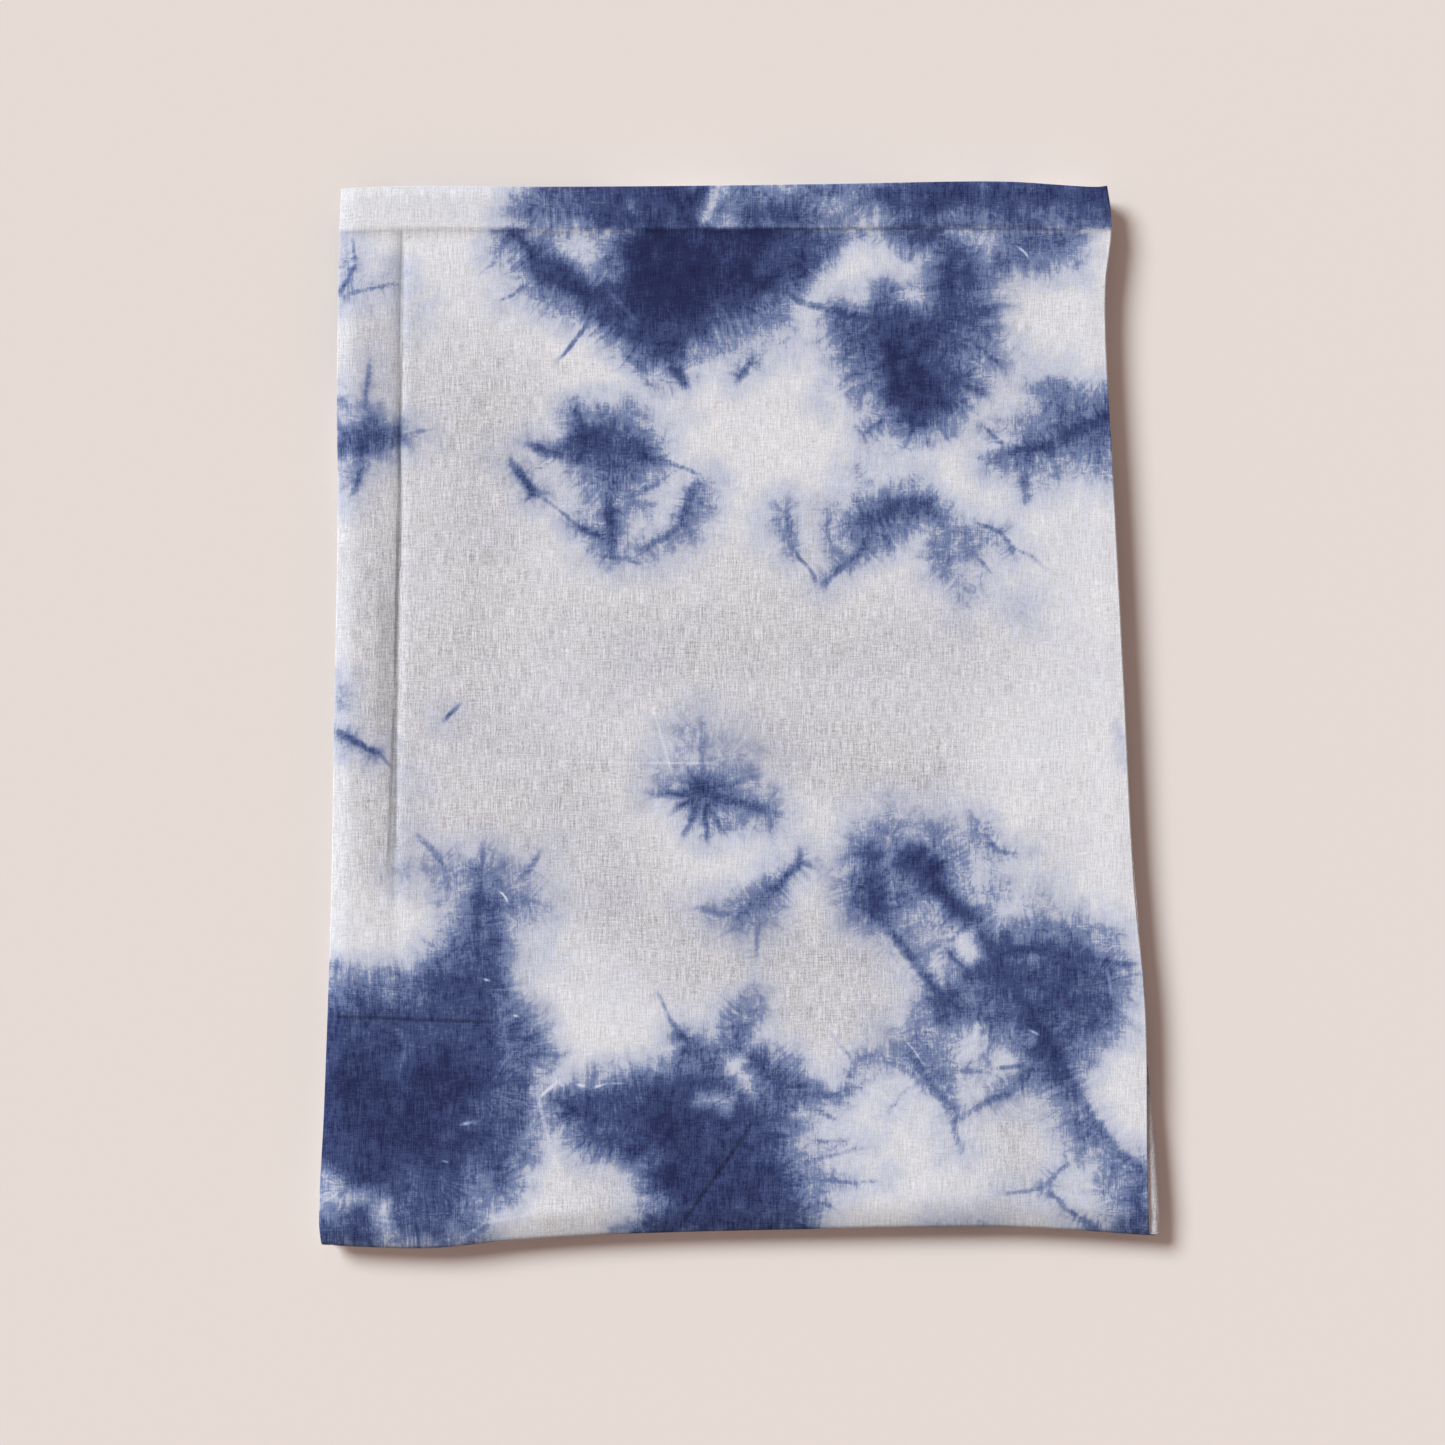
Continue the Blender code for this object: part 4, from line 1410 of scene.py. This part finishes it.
def beside(px, py, line):
    """How far points lie to one side of a line, how far past its ends, and how far along it as a share."""
    run_x, run_y = line.x1 - line.x0, line.y1 - line.y0
    length = math.hypot(run_x, run_y)
    along = ((px - line.x0) * run_x + (py - line.y0) * run_y) / length
    off = ((px - line.x0) * run_y - (py - line.y0) * run_x) / length
    share = np.clip(along / length, 0.0, 1.0)
    return off - line.bow * 4.0 * share * (1.0 - share), along - share * length, share, length


class Rays(NamedTuple):
    """Unevenness of a mark's edge: its size along the sides, turns round the ends, weight and seed step."""

    size: float
    turns: float
    weight: float
    step: float


RAYS = table(Rays, (13.0, 1.7, 1.0, 0.0), (5.5, 4.0, 0.45, 0.5))
RAY_RADIUS = 10.0  # marks narrower than this have shorter rays, down to a least share
RAY_LEAST = 0.2


def outside_mark(px, py, mark, seed):
    """How far points lie outside a mark's uneven edge, and the places on its rim that they face."""
    off, past, share, length = beside(px, py, mark)
    reach = np.maximum(np.hypot(off, past), 1e-6)
    turn_x, turn_y = past / reach, off / reach
    run_x, run_y = (mark.x1 - mark.x0) / length, (mark.y1 - mark.y0) / length
    rim_x, rim_y = turn_x * run_x + turn_y * run_y, turn_x * run_y - turn_y * run_x
    rays = 0.0
    for size, turns, weight, step in RAYS:
        rays = rays + weight * noise(share * length / size + turns * turn_x, turns * turn_y, seed + step)
    radius = mark.r0 + (mark.r1 - mark.r0) * share
    outside = reach - radius - mark.ray * rays * np.clip(radius / RAY_RADIUS, RAY_LEAST, 1.0)
    return outside, px - (reach - radius) * rim_x, py - (reach - radius) * rim_y


def covered(px, py, tables, seed, halo=0.0):
    """How strongly all the marks of some tables cover points, and the rim of the strongest mark at each."""
    bare, weight, tone = np.ones_like(px), np.full_like(px, 1e-9), np.zeros_like(px)
    around, most = np.zeros_like(px), np.zeros_like(px)
    rim_x, rim_y = px.copy(), py.copy()
    halo = np.broadcast_to(halo, px.shape)
    for marks in tables:
        for mark in marks:
            seed += 1.0
            soft = mark.soft * SOFTNESS
            margin = max(mark.r0, mark.r1) + soft + 2.0 * mark.ray + abs(mark.bow) + HALO_REACH
            low_x, high_x = min(mark.x0, mark.x1) - margin, max(mark.x0, mark.x1) + margin
            low_y, high_y = min(mark.y0, mark.y1) - margin, max(mark.y0, mark.y1) + margin
            near = np.flatnonzero((px > low_x) & (px < high_x) & (py > low_y) & (py < high_y))
            outside, at_rim_x, at_rim_y = outside_mark(px[near], py[near], mark, seed)
            cover = smooth_step(soft, -soft, outside)
            thin = smooth_step(mark.soft + HALO_REACH, 0.0, outside)
            bare[near] *= 1.0 - cover
            weight[near] += cover**2
            tone[near] += cover**2 * mark.dark
            around[near] = np.maximum(around[near], halo[near] * mark.dark * thin)
            strength = (cover + thin) * mark.dark
            stronger = strength > most[near]
            most[near[stronger]] = strength[stronger]
            rim_x[near[stronger]], rim_y[near[stronger]] = at_rim_x[stronger], at_rim_y[stronger]
    body = ((1.0 - bare) * tone / weight) ** DYE_CURVE
    return body + around * bare, rim_x, rim_y


def vein_strength(past, share, vein):
    """A vein's strength along itself: full in its middle, a quarter at its ends and 0 past them."""
    middle = smooth_step(0.0, VEIN_TAPER, share) * smooth_step(1.0, 1.0 - VEIN_TAPER, share)
    return vein.dark * (0.75 * middle + 0.25) * smooth_step(VEIN_PAST, 0.0, np.abs(past))


def vein_channels(px, py, veins):
    """Some veins at points, as offsets and strengths in as few channels as keep them apart."""
    channels = []
    for vein in veins:
        off, past, share, _ = beside(px, py, vein)
        gap = np.hypot(off, past)
        near = gap < vein.half * VEIN_WIDE + VEIN_REACH
        for channel in channels:
            if not np.any(channel["taken"] & near):
                break
        else:
            bare = np.zeros_like(px)
            channel = {"gap": bare + 1e9, "offset": bare + VEIN_FAR, "strength": bare * 0.0}
            channel["taken"] = np.zeros(len(px), bool)
            channels.append(channel)
        closer = gap < channel["gap"]
        offset = np.clip(off / vein.half, -VEIN_FAR, VEIN_FAR)
        strength = np.where(near, vein_strength(past, share, vein), 0.0)
        for name, value in (("gap", gap), ("offset", offset), ("strength", strength)):
            channel[name][closer] = value[closer]
        channel["taken"] |= near
    return channels


def warped(px, py, broad, narrow):
    """Places moved a little at random, broadly and narrowly, so that no mark is quite even."""
    moves = []
    for broad_seed, narrow_seed in (Seed.WARP_X, Seed.WARP_Y):
        move = broad * noise(px / BROAD_WARP, py / BROAD_WARP, broad_seed)
        moves.append(move + narrow * noise(px / NARROW_WARP, py / NARROW_WARP, narrow_seed))
    return px + moves[0], py + moves[1]


CLOUD_TURNS = (0.4, 1.1, 1.9, 2.6)
CLOUD_SHRINK = 0.47
CLOUD_FADE = 0.6


def clouds(px, py, size, seed):
    """Random clouds from about -1 to 1, each finer and fainter than the last and turned from it."""
    total, weight = 0.0, 0.5
    for turn in CLOUD_TURNS:
        along_x = px * math.cos(turn) + py * math.sin(turn)
        along_y = py * math.cos(turn) - px * math.sin(turn)
        total = total + weight * noise(along_x / size, along_y / size, seed + turn)
        size, weight = size * CLOUD_SHRINK, weight * CLOUD_FADE
    return total


def pixels(x, y):
    """Places in the pack's frame as the photo's pixels."""
    return PIXEL_X + x / PIXEL, PIXEL_Y - y / PIXEL


def top_dye_and_shade(x, y):
    """The top ply's dye, its painted sheer shade and painted shade at places in the pack's frame, and its
    marks' rims.
    """
    px, py = pixels(x, y)
    at_x, at_y = warped(px, py, *MARK_WARP)
    main_y, band_y = np.maximum(at_y, BAND_LINE + BAND_KEEP), np.minimum(at_y, BAND_LINE - BAND_KEEP)
    patchy = 0.9 + 0.6 * clouds(px, py, 15.0, Seed.PATCHY)
    whites = covered(at_x, at_y, WHITES, Seed.WHITES)[0]
    main, *rim = covered(at_x, main_y, MARKS, Seed.MARKS, HALO * patchy)
    haze = covered(at_x, main_y, (HAZES,), Seed.HAZES)[0] * (1.0 - 0.8 * whites)
    main = 1.0 - (1.0 - main * (1.0 - whites)) * (1.0 - np.clip(haze * patchy, 0.0, 1.0))
    band, *band_rim = covered(at_x, band_y, (BAND_MARKS,), Seed.BAND_MARKS, HALO)
    band = band * (1.0 - covered(at_x, band_y, (BAND_WHITES,), Seed.BAND_WHITES)[0])
    below = smooth_step(BAND_LINE - BAND_BLUR, BAND_LINE + BAND_BLUR, py)
    amount = band * (1.0 - below) + main * below
    mottle = clouds(px, py, 34.0, Seed.MOTTLE)
    fine = clouds(px, py, 13.0, Seed.FINE)
    amount = amount * (0.95 + 0.16 * mottle + 0.10 * fine)
    amount = amount + 0.035 * (1.0 + clouds(px, py, 60.0, Seed.TINT))
    # Grey painted shade where the top ply is sheer
    sheer_shade = covered(at_x, at_y, (SHEER_SHADE_MARKS,), Seed.SHEER_SHADE)[0] + 0.15 * mottle
    rims = np.where(below < 0.5, band_rim, rim)
    return np.clip(amount, 0.0, 1.0), np.clip(sheer_shade, 0.0, 1.0), painted_shade(x, y), *rims


def painted_shade(x, y):
    """The painted shade at the cloth's edges and folds, beyond what its shape gives, and under 0 painted
    light.
    """
    from_left = x - edge_at(LEFT_EDGE, y)
    from_back = edge_at(BACK_EDGE, x) - y
    before_crease = STRIP_WIDTH - from_left
    fade = strip_fade(y) * smooth_step(BAND_DEPTH - 1.0, BAND_DEPTH + 2.0, from_back) * (before_crease > 0.0)
    crease = CREASE_SHADE * reach_in(before_crease, CREASE_REACH) ** 2 * fade
    front = FRONT_SHADE * reach_in(y - edge_at(FRONT_EDGE, x), FRONT_REACH) ** 2
    rim = RIM_SHADE * smooth_step(RIM_REACH, 0.0, from_left)
    band = BAND_SHADE * trough(from_back - BAND_DEPTH - BAND_SHADE_IN, BAND_SHADE_WIDTH)
    right = RIGHT_SHADE * reach_in(edge_at(RIGHT_EDGE, y) - x, RIGHT_REACH)
    return crease + front + rim + band + right


def hidden_dye_and_shade(u, v):
    """The dye of the plies that hardly show: broad blots over the flat cloth, with an even painted sheer
    shade.
    """
    blots = 0.0
    for seed, size, weight in zip(Seed.HIDDEN, (42.0, 17.0, 6.0), (1.0, 0.6, 0.25), strict=True):
        blots = blots + weight * noise(u / size, v / size, seed)
    return smooth_step(0.05, 0.85, blots), np.full(len(u), 0.35), np.zeros(len(u)), u, v


def srgb(red, green, blue):
    """A screen colour from 0 to 255 as the linear colour that a shader takes."""
    levels = (value / 255.0 for value in (red, green, blue))
    return tuple(v / 12.92 if v <= 0.04045 else ((v + 0.055) / 1.055) ** 2.4 for v in levels)


class Value:
    """A node's output in a material, with the maths used on it."""

    def __init__(self, shader, socket):
        self.shader = shader
        self.socket = socket

    def math(self, operation, *others):
        """Add a Math node on this value and others."""
        return self.shader.node("ShaderNodeMath", {"operation": operation}, dict(enumerate((self, *others))))

    def __add__(self, other):
        return self.math("ADD", other)

    def __sub__(self, other):
        return self.math("SUBTRACT", other)

    def __rsub__(self, other):
        return (self * -1.0) + other

    def __mul__(self, other):
        return self.math("MULTIPLY", other)

    __radd__ = __add__
    __rmul__ = __mul__


RAMP_SCALE = 0.85  # leaves room on the ramp above the darkest blots for darker threads


class Shader:
    """A material's node tree, with one method that adds any node and short ones for what it often needs."""

    def __init__(self, name):
        self.material = bpy.data.materials.new(name)
        self.material.use_nodes = True
        self.tree = self.material.node_tree
        self.tree.nodes.clear()

    def node(self, kind, settings, inputs, output=0):
        """Add a node: its settings first, then its sockets' values or links. Gives one of its outputs."""
        node = self.tree.nodes.new(kind)
        for name, value in settings.items():
            if name == "stops":
                set_stops(node.color_ramp, value)
            else:
                setattr(node, name, value)
        for name, value in inputs.items():
            socket = node.inputs[name]
            if isinstance(value, Value):
                self.tree.links.new(value.socket, socket)
            elif isinstance(value, tuple) and len(value) == 3 and len(socket.default_value) == 4:
                socket.default_value = (*value, 1.0)
            else:
                socket.default_value = value
        return Value(self, node.outputs[output]) if node.outputs else None

    def attribute(self, name, output="Vector"):
        """The cloth's own attribute of this name."""
        return self.node("ShaderNodeAttribute", {"attribute_name": name}, {}, output)

    def part(self, vector, axis):
        """One part of a vector: 0, 1 or 2."""
        return self.node("ShaderNodeSeparateXYZ", {}, {0: vector}, axis)

    def scaled(self, vector, factors):
        """A vector or a colour with each of its parts multiplied by its own factor."""
        return self.node("ShaderNodeVectorMath", {"operation": "MULTIPLY"}, {0: vector, 1: factors})

    def moved(self, vector, other):
        """A vector with another one added."""
        return self.node("ShaderNodeVectorMath", {"operation": "ADD"}, {0: vector, 1: other})

    def threads(self, vector, factors, detail=1.0, roughness=0.5):
        """Noise about 0 over a vector that is stretched by its own factors."""
        return self.noise(self.scaled(vector, factors), 1.0, detail, roughness) - 0.5

    def noise(self, vector, scale, detail=2.0, roughness=0.5, output="Fac"):
        """Noise from 0 to 1 over a vector."""
        inputs = {"Vector": vector, "Scale": scale, "Detail": detail, "Roughness": roughness}
        return self.node("ShaderNodeTexNoise", {"noise_dimensions": "3D"}, inputs, output)

    def ranged(self, value, low, high, to_low=0.0, to_high=1.0):
        """A value taken from one range to another, and held at its ends."""
        inputs = {"Value": value, "From Min": low, "From Max": high, "To Min": to_low, "To Max": to_high}
        return self.node("ShaderNodeMapRange", {"interpolation_type": "SMOOTHSTEP"}, inputs)

    def mix(self, factor, first, second):
        """Two colours mixed by a factor."""
        inputs = {0: factor, 6: first, 7: second}
        return self.node("ShaderNodeMix", {"data_type": "RGBA", "blend_type": "MIX"}, inputs, 2)

    def ramp(self, value, stops):
        """A colour ramp of places and colours."""
        return self.node("ShaderNodeValToRGB", {"stops": stops}, {0: value})

    def surface(self, inputs):
        """Finish the material with the main shader on its output."""
        shader = self.node("ShaderNodeBsdfPrincipled", {}, inputs)
        self.node("ShaderNodeOutputMaterial", {}, {"Surface": shader})
        return self.material


def set_stops(ramp, stops):
    """Set a colour ramp's places and colours, with an even S between them."""
    ramp.interpolation = "EASE"
    while len(ramp.elements) < len(stops):
        ramp.elements.new(1.0)
    for element, (place, colour) in zip(ramp.elements, stops, strict=True):
        element.position = place
        element.color = (*colour, 1.0)


def thin_lines(shader, name, count, waver, narrow, wide):
    """The strengths at a point of the thin lines in an attribute's channels."""
    for number in range(count):
        line = shader.attribute(f"{name}_{number}")
        offset = (shader.part(line, 0) + waver).math("ABSOLUTE")
        yield shader.ranged(offset, narrow, wide, 1.0, 0.0) * shader.part(line, 1)


class Pitch:
    """How fast each kind of noise changes across and down the cloth, for every millimetre."""

    WAVER = (0.35, 0.35, 1.0)
    WANDER = (0.04, 0.04, 1.0)
    DOWN = (2.5, 0.15, 1.0)
    SHORT = (2.4, 0.85, 1.0)
    ACROSS = (0.22, 2.1, 1.0)
    FIBRES = (2.7, 2.2, 1.0)
    STREAKS = (0.42, 0.03, 1.0)
    SLUBS = (1.5, 0.09, 1.0)
    CELLS = (0.15, 0.12, 1.0)


def cloth_material(props, counts):
    """Thin cotton: uneven threads both ways, dye that follows them, painted shade, and grey painted shade
    where the ply is sheer.
    """
    shader = Shader("dyed_cotton")
    # This attribute holds the dye's amount, the painted sheer shade and the painted shade
    flat = shader.attribute("flat")
    dye = shader.attribute("dye")
    amount, sheer_shade, shade = shader.part(dye, 0), shader.part(dye, 1), shader.part(dye, 2)
    waver = shader.threads(flat, Pitch.WAVER, 2.0)
    clear = 1.0
    for strength in thin_lines(shader, "vein", counts["vein"], waver, 0.2, VEIN_WIDE):
        clear = clear * (1.0 - strength)
    amount = 1.0 - (1.0 - amount) * clear
    # Thin lines: over 0 painted shade along creases, under 0 pale threads and lint, and a painted highlight
    # along one ridge
    lines = sum(thin_lines(shader, "line", counts["line"], waver * 0.5, 0.3, 1.3))
    dark_line = lines.math("MAXIMUM", 0.0)
    pale_line = (lines * -1.0).math("MAXIMUM", 0.0)

    # Threads are thin streaks each way, uneven in width, length and tone
    wander = shader.noise(shader.scaled(flat, Pitch.WANDER), 1.0, 2.0, output="Color")
    woven = shader.moved(flat, shader.scaled(wander, (1.6, 1.6, 0.0)))
    down = shader.threads(woven, Pitch.DOWN)
    short = shader.threads(woven, Pitch.SHORT)
    across = shader.threads(woven, Pitch.ACROSS)
    fibres = shader.threads(flat, Pitch.FIBRES)
    streaks = shader.threads(woven, Pitch.STREAKS, 3.0, 0.65)
    slubs = shader.ranged(shader.noise(shader.scaled(woven, Pitch.SLUBS), 1.0, 1.0), 0.68, 0.82)
    weave = down * 1.6 + short * 1.0 + across * 0.95 + fibres * 0.9

    # The dye creeps out from the marks' rims and along the threads, and gathers in fine creases
    edge = amount * (1.0 - amount) * 4.0
    rays = shader.noise(shader.attribute("rim"), 0.55, 3.0, 0.6) - 0.5
    creep = down * 0.40 + short * 0.22 + across * 0.26 + streaks * 0.28 + rays * 0.60
    clouds = shader.noise(flat, 0.22, 4.0, 0.62) - 0.5
    cells = shader.threads(flat, Pitch.CELLS, 2.0, 0.6)
    cracks = 1.0 - shader.ranged(cells.math("ABSOLUTE"), 0.0, 0.045)
    dyed = amount + edge * (creep + clouds * 0.38 + cracks * 0.08)
    dyed = dyed + amount * (weave * 0.26 + clouds * 0.25)
    dyed = dyed * (1.0 - pale_line)
    colour = shader.ramp(
        dyed * RAMP_SCALE,
        (
            (0.00, tuple(props.bare_colour)),
            (0.14, tuple(props.tint_colour)),
            (0.41, tuple(props.pale_colour)),
            (0.65, tuple(props.middle_colour)),
            (0.85, tuple(props.deep_colour)),
            (1.00, tuple(props.darkest_colour)),
        ),
    )
    bare = 1.0 - shader.ranged(amount, 0.05, 0.6)
    # Grey painted shade where the bare cotton is sheer, for the shade of the plies under it
    grey = sheer_shade * bare
    colour = shader.mix(grey * 0.9, colour, tuple(props.sheer_shade_colour))
    contrast = (0.42 + grey * 0.46) * weave + streaks * (0.10 + grey * 0.25) + slubs * 0.12
    # The painted shade and the painted lines of shade darken the colour; pale lines lighten it
    tone = (1.0 + contrast) * (1.0 - shade) * (1.0 - dark_line) * (1.0 + pale_line * 0.25)
    tone_colour = shader.node("ShaderNodeCombineXYZ", {}, {0: tone, 1: tone, 2: tone})
    colour = shader.scaled(colour, tone_colour)
    relief = {"Strength": 0.35, "Distance": 0.00012, "Height": weave}
    bump = shader.node("ShaderNodeBump", {}, relief, "Normal")
    inputs = {
        "Base Color": colour,
        "Roughness": shader.ranged(fibres, -0.2, 0.2, 0.82, 0.95),
        "Specular IOR Level": 0.12,
        "Sheen Weight": 0.05,
        "Sheen Roughness": 0.5,
        "Normal": bump,
    }
    return shader.surface(inputs)


def floor_material(props):
    """A plain pale surface."""
    shader = Shader("plain_floor")
    inputs = {"Base Color": tuple(props.floor_colour), "Roughness": 0.9, "Specular IOR Level": 0.1}
    return shader.surface(inputs)


def colour_setting(name, description, red, green, blue):
    """A colour in the sidebar, given as a screen colour."""
    return bpy.props.FloatVectorProperty(
        name=name, description=description, default=srgb(red, green, blue), subtype="COLOR"
    )


class ClothSettings(bpy.types.PropertyGroup):
    """The cloth's thickness and its colours."""

    ply_thickness: bpy.props.FloatProperty(
        name="Ply thickness",
        description="Thickness of the cotton itself",
        default=PLY_THICK * MM,
        min=0.0001,
        precision=5,
        unit="LENGTH",
    )
    bare_colour: colour_setting("Bare cotton", "Cotton that took no dye", 228, 225, 228)
    # Grey painted shade where the ply is sheer
    sheer_shade_colour: colour_setting(
        "Sheer cotton", "Bare cotton where the shade of the plies under it shows", 191, 187, 192
    )
    tint_colour: colour_setting("Tint", "The faintest dye", 202, 204, 220)
    pale_colour: colour_setting("Pale dye", "Thin dye at the edge of a blot", 116, 129, 168)
    middle_colour: colour_setting("Middle dye", "Even dye inside a blot", 66, 78, 122)
    deep_colour: colour_setting("Deep dye", "The darkest dye in the middle of a blot", 38, 43, 84)
    darkest_colour: colour_setting(
        "Darkest threads", "Threads in the middle of a blot that took the most dye", 22, 24, 56
    )


PHOTO_SIDE = 1445  # in pixels
CAMERA_X = -6.0 * MM  # from the middle of the pack
CAMERA_Y = -2.6 * MM
KEY_X = 0.78  # where the main light goes in plan
KEY_Y = -0.625
KEY_COLOUR = (0.862, 0.967, 1.0)
FILL_COLOUR = (1.0, 0.775, 0.685)


class StageSettings(bpy.types.PropertyGroup):
    """The table, the light and the camera."""

    floor_colour: colour_setting("Floor", "Colour of the surface that the cloth lies on", 236, 224, 218)
    floor_size: bpy.props.FloatProperty(
        name="Floor size", description="Length of the floor's side", default=6.0, unit="LENGTH"
    )
    camera_height: bpy.props.FloatProperty(
        name="Camera height",
        description="Height of the camera above the top of the cloth",
        default=1.3,
        unit="LENGTH",
    )
    view_width: bpy.props.FloatProperty(
        name="View width",
        description="Width of the picture at the top of the cloth",
        default=PHOTO_SIDE * PIXEL * MM,
        unit="LENGTH",
    )
    light_strength: bpy.props.FloatProperty(
        name="Key light", description="Strength of the main light", default=3.61, min=0.0
    )
    light_height: bpy.props.FloatProperty(
        name="Light height",
        description="Angle of the main light above the floor",
        default=math.radians(39.0),
        subtype="ANGLE",
    )
    light_spread: bpy.props.FloatProperty(
        name="Light spread",
        description="Angle that the main light takes up, which softens its shadows",
        default=math.radians(25.0),
        subtype="ANGLE",
    )
    sky_strength: bpy.props.FloatProperty(
        name="Fill light", description="Strength of the light from all sides", default=0.32, min=0.0
    )


class CLOTH_OT_make_cloth(bpy.types.Operator):
    """Make the folded cloth, its dye and its cotton."""

    bl_idname = "cloth.make_cloth"
    bl_label = "Make folded cloth"

    def execute(self, context):
        props = context.scene.cloth_settings
        points, flat, top_points, faces = sheet_mesh()
        shift = pack_shift(points)
        mesh = bpy.data.meshes.new("cloth")
        mesh.from_pydata(((points + shift) * MM).tolist(), [], faces)
        if mesh.validate():
            raise RuntimeError("The cloth's mesh has faulty faces")
        mesh.shade_smooth()
        top_x, top_y = flat[:top_points].T
        # The dye, the painted sheer shade and the painted shade of every point, then the top ply's rims
        dye = np.column_stack(hidden_dye_and_shade(*flat.T))
        dye[:top_points] = np.column_stack(top_dye_and_shade(top_x, top_y))
        none = np.zeros(len(flat))
        store_vectors(mesh, "flat", *flat.T, none)
        store_vectors(mesh, "dye", *dye.T[:3])
        store_vectors(mesh, "rim", *(dye.T[3:] * PIXEL), none)
        at = pixels(top_x, top_y)
        tables = {"vein": vein_channels(*warped(*at, *VEIN_WARP), VEINS), "line": vein_channels(*at, LINES)}
        for name, channels in tables.items():
            for number, channel in enumerate(channels):
                offset, strength = none + VEIN_FAR, none.copy()
                offset[:top_points], strength[:top_points] = channel["offset"], channel["strength"]
                store_vectors(mesh, f"{name}_{number}", offset, strength, none)
        counts = {name: len(channels) for name, channels in tables.items()}
        cloth = bpy.data.objects.new("cloth", mesh)
        context.scene.collection.objects.link(cloth)
        solid = cloth.modifiers.new("thickness", "SOLIDIFY")
        solid.thickness = props.ply_thickness
        solid.offset = 0.0
        context.view_layer.update()
        shape = cloth.evaluated_get(context.evaluated_depsgraph_get())
        closed = bpy.data.meshes.new_from_object(shape)
        cloth.modifiers.clear()
        cloth.data = closed
        closed.materials.append(cloth_material(props, counts))
        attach(cloth, "root")
        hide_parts(CAD_NODE)
        return {"FINISHED"}


def store_vectors(mesh, name, *parts):
    """Write an attribute of three parts on the mesh's points."""
    attribute = mesh.attributes.new(name, "FLOAT_VECTOR", "POINT")
    attribute.data.foreach_set("vector", np.column_stack(parts).astype(np.float32).ravel())


class CLOTH_OT_make_stage(bpy.types.Operator):
    """Make the floor, the light and the camera."""

    bl_idname = "cloth.make_stage"
    bl_label = "Make stage"

    def execute(self, context):
        props = context.scene.stage_settings
        centre = (CAD_LOW + CAD_HIGH) / 2.0
        camera_data = bpy.data.cameras.new("camera")
        camera_data.sensor_width = 36.0
        camera_data.lens = camera_data.sensor_width * props.camera_height / props.view_width
        camera = bpy.data.objects.new("camera", camera_data)
        camera.location = (centre.x + CAMERA_X, centre.y + CAMERA_Y, CAD_HIGH.z + props.camera_height)
        context.scene.collection.objects.link(camera)
        context.scene.camera = camera

        half = props.floor_size / 2.0
        mesh = bpy.data.meshes.new("floor")
        corners = [(-half, -half, 0.0), (half, -half, 0.0), (half, half, 0.0), (-half, half, 0.0)]
        mesh.from_pydata(corners, [], [(0, 1, 2, 3)])
        mesh.materials.append(floor_material(props))
        floor = bpy.data.objects.new("floor", mesh)
        context.scene.collection.objects.link(floor)

        light_data = bpy.data.lights.new("key", "SUN")
        light_data.energy = props.light_strength
        light_data.angle = props.light_spread
        light_data.color = KEY_COLOUR
        light = bpy.data.objects.new("key", light_data)
        level = math.cos(props.light_height)
        towards = Vector((KEY_X * level, KEY_Y * level, -math.sin(props.light_height)))
        light.rotation_euler = towards.to_track_quat("-Z", "Y").to_euler()
        context.scene.collection.objects.link(light)

        world = bpy.data.worlds.new("fill")
        world.use_nodes = True
        background = world.node_tree.nodes["Background"]
        background.inputs["Color"].default_value = (*FILL_COLOUR, 1.0)
        background.inputs["Strength"].default_value = props.sky_strength
        context.scene.world = world
        context.scene.view_settings.view_transform = "Standard"
        return {"FINISHED"}


class CLOTH_PT_panel(bpy.types.Panel):
    """Lists the settings and the operators in the 3D view's sidebar."""

    bl_idname = "CLOTH_PT_panel"
    bl_label = "Folded cloth"
    bl_space_type = "VIEW_3D"
    bl_region_type = "UI"
    bl_category = "Cloth"

    def draw(self, context):
        for props, operator in (
            (context.scene.cloth_settings, CLOTH_OT_make_cloth),
            (context.scene.stage_settings, CLOTH_OT_make_stage),
        ):
            for name in props.__annotations__:
                self.layout.prop(props, name)
            self.layout.operator(operator.bl_idname)


CLASSES = (ClothSettings, StageSettings, CLOTH_OT_make_cloth, CLOTH_OT_make_stage, CLOTH_PT_panel)


def register():
    """Make the classes and the settings known."""
    for item in CLASSES:
        bpy.utils.register_class(item)
    bpy.types.Scene.cloth_settings = bpy.props.PointerProperty(type=ClothSettings)
    bpy.types.Scene.stage_settings = bpy.props.PointerProperty(type=StageSettings)


def unregister():
    """Take the classes and the settings away again."""
    del bpy.types.Scene.stage_settings
    del bpy.types.Scene.cloth_settings
    for item in reversed(CLASSES):
        bpy.utils.unregister_class(item)


def main():
    """Make the whole scene."""
    register()
    bpy.ops.cloth.make_stage()
    bpy.ops.cloth.make_cloth()
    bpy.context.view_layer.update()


if __name__ == "__main__":
    main()
